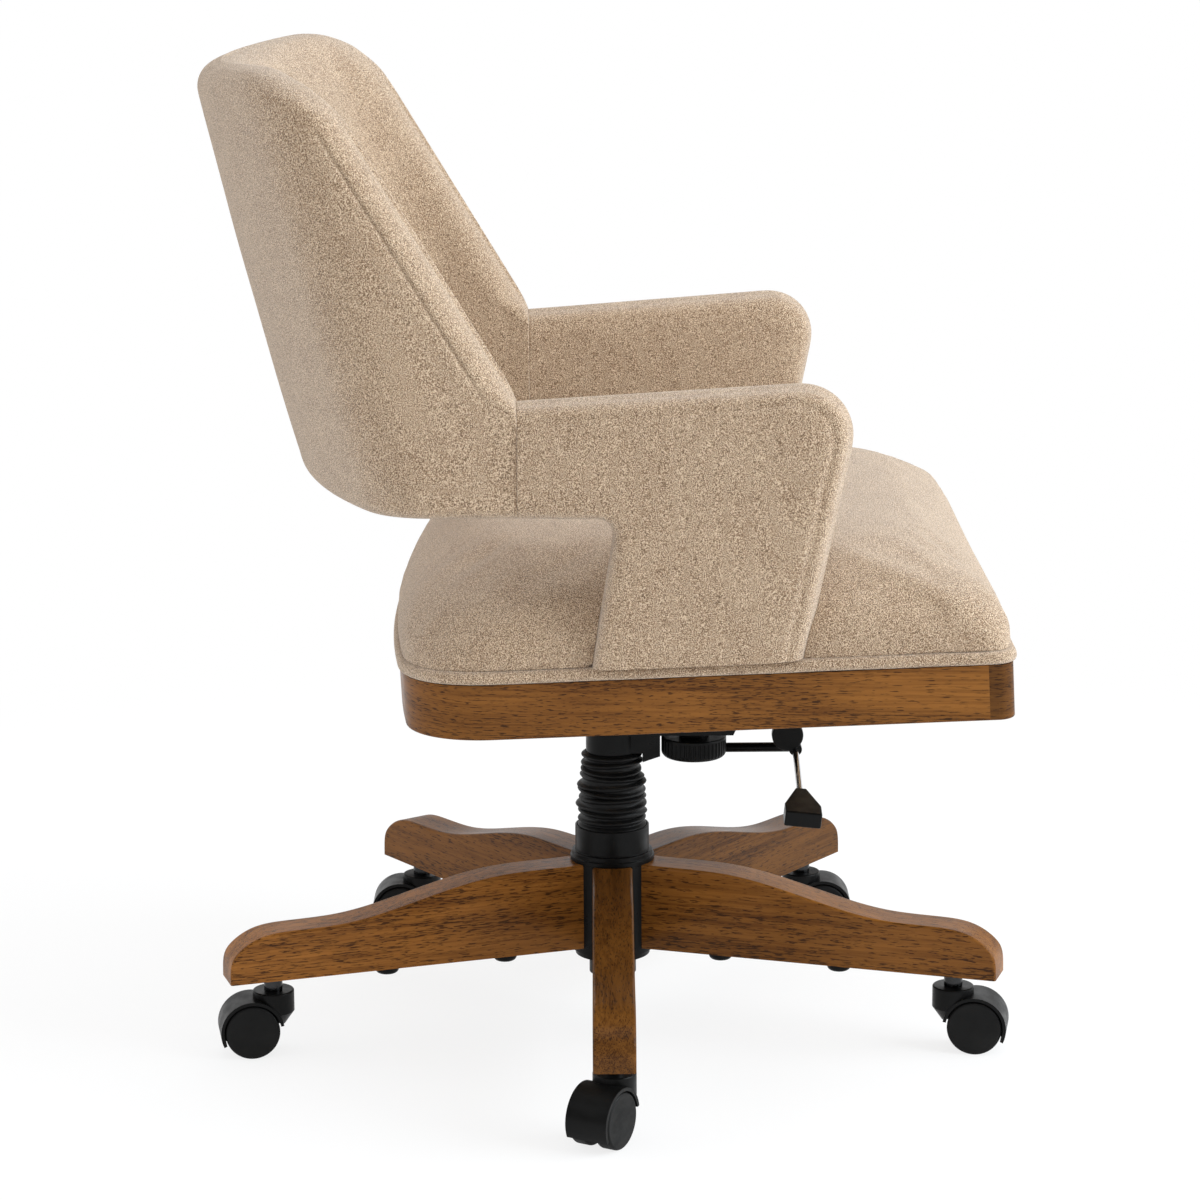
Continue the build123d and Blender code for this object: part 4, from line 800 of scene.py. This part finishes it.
class CHAIR_OT_back(bpy.types.Operator):
    """Wrap-around back with a boxed edge, sewn along the wings and the top"""
    bl_idname = "chair.back"
    bl_label = "Back"

    def execute(self, context):
        cloth = context.scene.chair_fabric
        (outer, inner), margins = back_faces()
        heights = outer[:, 0, 2]
        wing = np.clip((heights - JOINT_TOP + 0.004) / 0.02, 0.0, 1.0)[:, None]
        wing_roll = SEWN_ROLL + 0.0243 * wing
        rolls = {"start": wing_roll, "end": wing_roll, "low": np.array(0.012), "high": np.array(0.026)}
        side = np.minimum(margins["start"], margins["end"])
        open_side = np.minimum(side, margins["high"])
        every = np.minimum(open_side, margins["low"])
        seam = np.where(heights[:, None] > JOINT_TOP - 0.02, side - SEAM_AT, 1.0)
        dips = (groove(seam, cloth.seam_depth) * wing, np.zeros_like(every))
        full = 1.0 - np.exp(-np.maximum(every - SEAM_AT, 0.0) / 0.04)
        uneven = ripple(outer, 0.11, 0.0012, 3.7)
        swell = (cloth.crown * 0.5 * full + uneven * full, cloth.crown * 1.3 * full + uneven * full)
        puff = 0.0035 * np.broadcast_to(wing, every.shape).copy()
        puff[0, :], puff[-1, :] = 0.001, 0.0015
        points, faces = pad_shell(outer, inner, margins, rolls, dips, swell, puff)
        piece = mesh_object("back_upholstery", points, faces)
        made = coordinates(piece)
        corner = (outer[-1, 0] + inner[-1, 0]) / 2
        off = np.linalg.norm(np.abs(made) - np.abs(corner), axis=1)
        relax(piece, 0.5 * np.clip(1.3 - off / 0.06, 0.0, 1.0) ** 3, 60)
        refine(piece)
        dress(piece, fabric_material(), "seat", "fabric", "back_pad", "back_outer_panel")
        return {"FINISHED"}


class CHAIR_OT_arms(bpy.types.Operator):
    """Padded arms sewn along their outer upper edge"""
    bl_idname = "chair.arms"
    bl_label = "Arms"

    def execute(self, context):
        cloth = context.scene.chair_fabric
        for way, name in ((1, "left"), (-1, "right")):
            (outer, inner), margins = arm_faces(way)
            sewn = np.array(SEWN_ROLL)
            rolls = {"start": np.array(0.015), "end": np.array(0.011), "low": sewn, "high": sewn}
            seam = margins["start"] - ARM_SEAM_AT
            dips = (groove(seam, cloth.seam_depth), groove(seam, 0.25 * cloth.seam_depth))
            edge = np.minimum(seam, margins["end"])
            full = 1.0 - np.exp(-np.maximum(edge, 0.0) / 0.02)
            at_joint = np.clip(margins["low"] / 0.05, 0.0, 1.0)
            uneven = ripple(outer, 0.07, 0.0009, 11.3 + way) * at_joint
            swell = (cloth.crown * 0.55 * full + uneven * full, cloth.crown * 0.6 * full + uneven * full)
            puff = (np.where(margins["start"] < 1e-9, 0.003, 0.0)
                    + np.where(margins["end"] < 1e-9, 0.0015, 0.0))
            points, faces = pad_shell(outer, inner, margins, rolls, dips, swell, puff)
            piece = refine(mesh_object(f"arm_{name}_upholstery", points, faces))
            dress(piece, fabric_material(), "seat", "fabric", f"arm_{name}")
        return {"FINISHED"}


class CHAIR_OT_cushion(bpy.types.Operator):
    """Crowned seat cushion, drawn in at its foot and pressed in by the arms"""
    bl_idname = "chair.cushion"
    bl_label = "Seat cushion"

    def execute(self, context):
        profile, count = np.array(CUSHION_PROFILE), CUSHION_STEPS
        travel = along(profile)
        rings = [on_seat(seat_outline(CUSHION_UNDER, CUSHION_UNDER, 0.0, count), FOOT_H + profile[0, 0])]
        for step in np.linspace(0.0, travel[-1], CUSHION_RINGS):
            rise, inset, front_inset = (np.interp(step, travel, profile[:, n]) for n in range(3))
            ease = CUSHION_EASE * max(rise, 0.0) / profile[-1, 0]
            rings.append(on_seat(seat_outline(inset, front_inset, ease, count), FOOT_H + rise))
        last, middle = rings[-1], rings[-1].mean(0)
        for share in np.linspace(0.0, 1.0, 9)[1:-1]:
            lifted = middle + (last - middle) * (1 - share)
            lifted[:, 2] += CUSHION_CROWN * sin(share * pi / 2)
            rings.append(lifted)
        points = np.concatenate(rings)
        faces = grid_faces(len(rings), count, closed=True)
        faces += [tuple(range(count)), tuple(range(len(points) - count, len(points)))]
        piece = mesh_object("seat_cushion_upholstery", points, faces)
        remesh = piece.modifiers.new("Even", "REMESH")
        remesh.mode, remesh.voxel_size = "VOXEL", CUSHION_MESH
        apply_modifiers(piece)
        puff_with_cloth(piece, self.held(piece))
        self.settle(piece)
        self.fit_round_arms(piece)
        dress(piece, fabric_material(), "seat", "fabric", "seat_cushion")
        return {"FINISHED"}

    @staticmethod
    def above_foot(points):
        """Height above the welt's top, square to the seat plane."""
        return points[:, 1] * sin(SEAT_PITCH) + (points[:, 2] - RAIL_BOTTOM_Z) * cos(SEAT_PITCH) - FOOT_H

    def held(self, piece):
        """How firmly the frame holds each point: fully at the foot, not at all on top."""
        return np.clip(1.0 - self.above_foot(coordinates(piece)) / CUSHION_HELD, 0.0, 1.0)

    def settle(self, piece):
        """Smooths the cushion and presses it clear of the arms."""
        relax(piece, np.full(len(piece.data.vertices), 0.5), 6)
        points = coordinates(piece)
        (upper, _), (lower, _) = arm_side_view()
        outline = np.concatenate([upper, lower[::-1]])
        side = points[:, 1:]
        ahead = np.roll(outline, -1, 0)
        nearest = np.full(len(points), 9.0)
        inside = np.zeros(len(points), bool)
        for a, b in zip(outline, ahead):
            run = b - a
            share = np.clip(((side - a) @ run) / max(np.dot(run, run), 1e-12), 0.0, 1.0)
            nearest = np.minimum(nearest, np.linalg.norm(side - a - share[:, None] * run, axis=1))
            crosses = (a[1] > side[:, 1]) != (b[1] > side[:, 1])
            with np.errstate(divide="ignore", invalid="ignore"):
                x = a[0] + (side[:, 1] - a[1]) / (b[1] - a[1]) * run[0]
            inside ^= crosses & (side[:, 0] < x)
        gap = np.where(inside, -nearest, nearest)
        under = (side[:, 1] < ARM_FOOT_Z) & (side[:, 0] > ARM_FOOT_FRONT) & (side[:, 0] < ARM_FOOT_REAR)
        gap = np.where(~inside & under, -0.01, gap)
        reach = BACK_HALF + (JOINT_Y - points[:, 1]) * tan(SEAT_TAPER)
        width = np.abs(points[:, 0])
        dive = smooth_step((-DIVE_FROM - gap) / DIVE_OVER)
        depth = np.maximum(width - reach + ARM_THICK / 2, 0.0)
        pressed = np.clip(depth / (ARM_THICK / 2), 0.0, 1.0)
        crease = CREASE * np.exp(-((gap + DIVE_FROM) / CREASE_WIDE) ** 2) * pressed
        points[:, 0] = np.sign(points[:, 0]) * (width - depth * dive - crease * (1 - dive))
        points[:, 2] += np.maximum(-self.above_foot(points), 0.0)
        move_points(piece, points)

    @staticmethod
    def fit_round_arms(piece):
        """Rounds the cushion and cuts it close round both arms."""
        refine(piece)
        for name in ("left", "right"):
            arm = bpy.data.objects[f"arm_{name}_upholstery"]
            solved = arm.evaluated_get(bpy.context.evaluated_depsgraph_get())
            fitted = bpy.data.objects.new("fitted", bpy.data.meshes.new_from_object(solved))
            bpy.context.scene.collection.objects.link(fitted)
            normals = np.zeros(len(fitted.data.vertices) * 3)
            fitted.data.vertices.foreach_get("normal", normals)
            move_points(fitted, coordinates(fitted) + ARM_CLEARANCE * normals.reshape(-1, 3))
            cut = piece.modifiers.new("Arm", "BOOLEAN")
            cut.operation, cut.solver, cut.object = "DIFFERENCE", "EXACT", fitted
            apply_modifiers(piece)
            bpy.data.objects.remove(fitted)
        work = bmesh.new()
        work.from_mesh(piece.data)
        bmesh.ops.remove_doubles(work, verts=work.verts, dist=2e-5)
        many_sided = [face for face in work.faces if len(face.verts) > 4]
        bmesh.ops.triangulate(work, faces=many_sided, ngon_method="BEAUTY")
        bmesh.ops.dissolve_degenerate(work, dist=1e-5, edges=work.edges)
        for face in work.faces:
            face.smooth = True
        work.to_mesh(piece.data)
        work.free()
        piece.data.set_sharp_from_angle(angle=radians(50))


class CHAIR_OT_welt(bpy.types.Operator):
    """Covered welt between the cushion and the rail"""
    bl_idname = "chair.welt"
    bl_label = "Seat welt"

    def execute(self, context):
        section = [(0.020, 0.0002), (0.004, 0.0002), (0.0, 0.0004), (-0.0022, 0.0014), (-0.0036, 0.0038),
                   (-0.0036, 0.0072), (-0.0026, 0.0098), (-0.0006, 0.0114), (0.002, 0.0118), (0.0035, 0.0118),
                   (0.0045, 0.0117), (0.0060, 0.0117), (0.010, 0.0118), (0.020, 0.0118)]
        count = 320
        rings = [on_seat(seat_outline(inset, inset, 0.0, count), RAIL_H + rise) for inset, rise in section]
        for ring in rings[2:9]:
            ring[:, 2] += ripple(ring, 0.05, 0.0005, 21.0)
        rings.append(rings[0])
        faces = grid_faces(len(rings), count, closed=True)
        piece = mesh_object("seat_welt_cord", np.concatenate(rings), faces)
        dress(refine(piece), fabric_material(), "seat", "fabric", "seat_welt")
        return {"FINISHED"}


class CHAIR_OT_boot(bpy.types.Operator):
    """Ribbed rubber boot between the hub and the mechanism"""
    bl_idname = "chair.boot"
    bl_label = "Column boot"

    def execute(self, context):
        fittings = context.scene.chair_fittings
        low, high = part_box("column_boot")
        ribs, turn = fittings.boot_ribs, np.linspace(0, 2 * pi, 97)[:-1]
        pitch = (high.z - low.z) / ribs
        rings = []
        for step in range(ribs * 10 + 1):
            place = step / 10
            past = max(0.0, place / ribs - BOOT_WIDE_SHARE) / (1 - BOOT_WIDE_SHARE)
            peak = BOOT_WIDE - (BOOT_WIDE - BOOT_NECK) * sin(past * pi / 2)
            wave = 0.5 - 0.5 * cos(2 * pi * place)
            radius = peak - BOOT_RIB * (1 - wave**0.7)
            number = np.floor(place)
            slack = 0.0011 * np.sin(turn * 2 + number * 1.9) + 0.0007 * np.sin(turn * 3 - number * 2.6)
            level = low.z + place * pitch
            above, below = (level - BOOT_FADE_Z) / BOOT_FADE, (high.z - 0.004 - level) / BOOT_FADE
            fade = np.clip(above, 0, 1) * np.clip(below, 0, 1)
            tilt = 0.0016 * np.sin(turn + number * 2.4) * fade
            spread_r = radius + slack * fade * wave
            rings.append(np.stack([spread_r * np.cos(turn), spread_r * np.sin(turn), level + tilt], 1))
        for ring in rings[::-1]:
            across = np.linalg.norm(ring[:, :2], axis=1)
            bore = np.maximum(across - BOOT_WALL, np.minimum(across - BOOT_LEAST_WALL, BOOT_BORE))
            rings.append(np.column_stack([ring[:, :2] * (bore / across)[:, None], ring[:, 2]]))
        rings.append(rings[0])
        points = np.concatenate(rings)
        piece = mesh_object("column_boot_rubber", points, grid_faces(len(rings), len(turn), closed=True))
        piece.data.materials.append(moulded_material(
            "boot_rubber", (0.0045, 0.0045, 0.0045), (0.010, 0.010, 0.0095), 900.0, 0.46, 0.15, 0.0003,
            Specular_IOR_Level=0.2))
        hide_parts("column_boot")
        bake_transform(piece)
        return {"FINISHED"}


class CHAIR_OT_coil(bpy.types.Operator):
    """Tension spring between the nut and the seat plate"""
    bl_idname = "chair.coil"
    bl_label = "Tension coil"

    def execute(self, context):
        low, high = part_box("tension_spring")
        wire, turns = COIL_WIRE, context.scene.chair_fittings.coil_turns
        middle, radius = (low + high) / 2, (high.x - low.x) / 2 - wire
        foot, length = low.z + NUT_CLIMB, high.z - low.z - NUT_CLIMB
        steps, sides = turns * 40, 12
        turn = np.linspace(0, 2 * pi, sides + 1)[:-1, None]
        rings = []
        for step in range(steps + 1):
            share = step / steps
            ease = min(1.0, max(0.0, (share * turns - 0.8) / max(turns - 1.6, 0.1)))
            angle = share * turns * 2 * pi
            outward = np.array([cos(angle), sin(angle), 0.0])
            level = foot + wire + (length - 2 * wire) * ease
            centre = np.array([middle.x, middle.y, level]) + outward * radius
            rings.append(centre + wire * (np.cos(turn) * outward + np.sin(turn) * np.array([0, 0, 1.0])))
        points = np.concatenate(rings)
        faces = grid_faces(len(rings), sides, closed=True)
        faces += [tuple(range(sides)), tuple(len(points) - sides + n for n in range(sides))]
        piece = mesh_object("tension_coil", points, faces)
        material = moulded_material(
            "spring_steel", (0.09, 0.09, 0.095), (0.05, 0.045, 0.04), 600.0, 0.36, 0.1, 0.0002, Metallic=1.0)
        dress(piece, material, "mechanism", "plain_steel", "tension_spring")
        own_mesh(piece)
        return {"FINISHED"}


class CHAIR_OT_wood(bpy.types.Operator):
    """Stain and lacquer on the legs and the seat rail, and plain wood inside"""
    bl_idname = "chair.wood"
    bl_label = "Wood"

    def execute(self, context):
        # Each leg's stain strength holds painted shade for the first and third legs.
        for number, (heading, depth) in enumerate(zip(LEG_HEADINGS, LEG_STAINS_AND_SHADE), 1):
            aim = straight_grain(heading, (0.0, 0.31 * number, 0.17 * number))
            paint(wood_material(f"leg_{number}_wood", aim, depth), f"leg_{number}")
        bent, front = run_grain(round_seat, (0.2, 0.9, 0.1)), run_grain(round_ends, (0.0, 0.9, 0.1))
        paint(wood_material("rail_bent_wood", bent, RAIL_STAIN), "rail_bent")
        # The front board's stronger stain is partly painted shade.
        paint(wood_material("rail_front_wood", front, BOARD_STAIN_AND_SHADE), "rail_front")
        for name, tone, dark, heading, members in (
            ("beech_wood", (0.52, 0.34, 0.19), (0.38, 0.22, 0.11), 0.0, ("frame_braces", "arm_frames")),
            ("birch_ply", (0.56, 0.40, 0.24), (0.44, 0.29, 0.16), 90.0, ("seat_board", "back_shell")),
        ):
            aim = straight_grain(heading, (0.4, 0.2, 0.6))
            values = {"Vector": aim, "Tone": tone, "Dark": dark, "Pore": dark}
            paint(new_material(name, "Wood grain", values, 0.3, 0.0004, Specular_IOR_Level=0.2), *members)
        return {"FINISHED"}


class CHAIR_OT_fittings(bpy.types.Operator):
    """Plastic, coated steel and bright metal of the base, castors, column and mechanism"""
    bl_idname = "chair.fittings"
    bl_label = "Fittings"

    def execute(self, context):
        black, dust = tuple(context.scene.chair_fittings.black), (0.009, 0.0086, 0.008)
        castors, dull, metal = range(1, 6), {"Specular_IOR_Level": 0.12}, {"Metallic": 1.0}
        for name, base, marks, texture, gloss, bump, sockets, members in (
            ("castor_plastic", black, dust, 1400.0, 0.36, (0.12, 0.0002), dull,
             ["leg_bolts", "hub_collar", "tension_knob", "lever_boss", "lever_paddle",
              *(f"castor_{n}_hood" for n in castors)]),
            ("castor_tread", (0.0055, 0.0054, 0.0052), (0.014, 0.0135, 0.0125), 800.0, 0.52, (0.2, 0.0003),
             {"Specular_IOR_Level": 0.15},
             [f"castor_{n}_wheel_{side}" for n in castors for side in ("left", "right")]),
            ("coated_steel", black, dust, 700.0, 0.33, (0.25, 0.0002), dull,
             ["base_spider", "lift_outer_tube", "lift_cylinder", "tilt_housing", "lever_arm", "seat_plate"]),
            ("bright_plate", (0.72, 0.72, 0.73), (0.60, 0.60, 0.61), 500.0, 0.16, (0.04, 0.0002), metal,
             ["lever_rod"]),
            ("dark_plate", (0.045, 0.045, 0.046), (0.03, 0.03, 0.03), 500.0, 0.22, (0.04, 0.0002), metal,
             ["castor_stems"]),
            ("turned_steel", (0.42, 0.42, 0.43), (0.30, 0.29, 0.28), 900.0, 0.34, (0.12, 0.0002), metal,
             ["lift_thrust_bearing", "lift_piston_rod", "release_pin", "tilt_pivot_pin", "tension_bolt",
              "tension_nut", "frame_bolts", *(f"castor_{n}_axle" for n in castors)]),
            ("acetal", (0.62, 0.60, 0.54), (0.5, 0.48, 0.43), 1000.0, 0.38, (0.1, 0.0002), {},
             ["lift_guide_bush"]),
        ):
            paint(moulded_material(name, base, marks, texture, gloss, *bump, **sockets), *members)
        return {"FINISHED"}


class CHAIR_OT_stage(bpy.types.Operator):
    """Pale floor, soft studio light and the camera"""
    bl_idname = "chair.stage"
    bl_label = "Stage"

    def execute(self, context):
        scene = context.scene
        scene.view_settings.view_transform = "Standard"
        self.floor(scene)
        self.world(scene)
        for name, lamp in LAMPS.items():
            self.lamp(name, *lamp)
        camera = bpy.data.objects.new("camera", bpy.data.cameras.new("camera"))
        camera.data.sensor_width, camera.data.lens = 36.0, scene.chair_stage.lens
        camera.data.clip_end = 60.0
        aim = (Matrix.Rotation(radians(-90), 4, "Z") @ Matrix.Rotation(radians(90 - CAMERA_DOWN), 4, "X")
               @ Matrix.Rotation(radians(CAMERA_ROLL), 4, "Z"))
        camera.matrix_world = Matrix.Translation(CAMERA_AT) @ aim
        scene.collection.objects.link(camera)
        scene.camera = camera
        return {"FINISHED"}

    @staticmethod
    def lamp(name, place, target, size, power, colour):
        data = bpy.data.lights.new(name, "AREA")
        data.shape, data.size, data.size_y, data.energy = "RECTANGLE", *size, power
        data.color = colour
        lamp = bpy.data.objects.new(name, data)
        lamp.location = place
        lamp.rotation_euler = (Vector(target) - Vector(place)).to_track_quat("-Z", "Y").to_euler()
        bpy.context.scene.collection.objects.link(lamp)

    @staticmethod
    def seen(tree):
        """One for rays from the camera, or seen in gloss or glass."""
        rays = new_node(tree, "ShaderNodeLightPath")
        gloss = maths(tree, "MAXIMUM", rays.outputs["Is Glossy Ray"], rays.outputs["Is Transmission Ray"])
        return rays.outputs["Is Camera Ray"], gloss

    def floor(self, scene):
        corners = [(FLOOR_REACH * x, FLOOR_REACH * y, 0) for x, y in ((-1, -1), (1, -1), (1, 1), (-1, 1))]
        floor = mesh_object("floor", corners, [(0, 1, 2, 3)])
        material = bpy.data.materials.new("floor_paint")
        material.use_nodes = True
        tree = material.node_tree
        shader = tree.nodes["Principled BSDF"]
        shader.inputs["Base Color"].default_value = (*scene.chair_stage.floor, 1.0)
        shader.inputs["Roughness"].default_value = 0.9
        shader.inputs["Specular IOR Level"].default_value = 0.1
        camera, gloss = self.seen(tree)
        place = {0: object_place(tree)}
        away = new_node(tree, "ShaderNodeVectorMath", place, operation="LENGTH").outputs["Value"]
        white = step_between(tree, away, 0.5, 1.5, 0.80, 1.0)
        shown, mirrored = maths(tree, "MULTIPLY", camera, white), maths(tree, "MULTIPLY", gloss, 0.5)
        share = maths(tree, "MAXIMUM", shown, mirrored)
        glow = new_node(tree, "ShaderNodeEmission", {"Color": (1, 1, 1, 1), "Strength": 1.0})
        both = new_node(tree, "ShaderNodeMixShader", {0: share, 1: shader.outputs[0], 2: glow.outputs[0]})
        tree.links.new(both.outputs[0], tree.nodes["Material Output"].inputs[0])
        floor.data.materials.append(material)

    def world(self, scene):
        world = bpy.data.worlds.new("studio")
        scene.world = world
        world.use_nodes = True
        tree = world.node_tree
        camera, gloss = self.seen(tree)
        heading = new_node(tree, "ShaderNodeTexCoord").outputs["Generated"]
        across = new_node(tree, "ShaderNodeSeparateXYZ", {0: heading}).outputs[0]
        backdrop = step_between(tree, across, -0.2, 0.6, 0.12, 1.0)
        mirrored = maths(tree, "MULTIPLY", gloss, backdrop)
        plain = maths(tree, "MULTIPLY", maths(tree, "SUBTRACT", 1.0, gloss), 0.67)
        strength = maths(tree, "MAXIMUM", camera, maths(tree, "ADD", mirrored, plain))
        background = tree.nodes["Background"]
        background.inputs["Color"].default_value = (1, 1, 1, 1)
        tree.links.new(strength, background.inputs["Strength"])


PIECES = ("back", "arms", "cushion", "welt", "boot", "coil", "wood", "fittings", "stage")


class CHAIR_PT_pieces(bpy.types.Panel):
    """Pieces of the chair"""
    bl_idname = "CHAIR_PT_pieces"
    bl_label = "Swivel desk chair"
    bl_space_type = "VIEW_3D"
    bl_region_type = "UI"
    bl_category = "Chair"

    def draw(self, context):
        for settings in SETTINGS:
            group = getattr(context.scene, settings)
            column = self.layout.column(align=True)
            for label in group.__annotations__:
                column.prop(group, label)
        for piece in PIECES:
            self.layout.operator(f"chair.{piece}")


SETTINGS = {
    "chair_fabric": ChairFabric, "chair_wood": ChairWood,
    "chair_fittings": ChairFittings, "chair_stage": ChairStage,
}
CLASSES = (
    *SETTINGS.values(), CHAIR_OT_back, CHAIR_OT_arms, CHAIR_OT_cushion, CHAIR_OT_welt, CHAIR_OT_boot,
    CHAIR_OT_coil, CHAIR_OT_wood, CHAIR_OT_fittings, CHAIR_OT_stage, CHAIR_PT_pieces,
)


def register():
    for each in CLASSES:
        bpy.utils.register_class(each)
    for label, kind in SETTINGS.items():
        setattr(bpy.types.Scene, label, PointerProperty(type=kind))


def unregister():
    for label in SETTINGS:
        delattr(bpy.types.Scene, label)
    for each in reversed(CLASSES):
        bpy.utils.unregister_class(each)


def main():
    """Makes every piece in order."""
    register()
    for piece in PIECES:
        getattr(bpy.ops.chair, piece)()


if __name__ == "__main__":
    main()
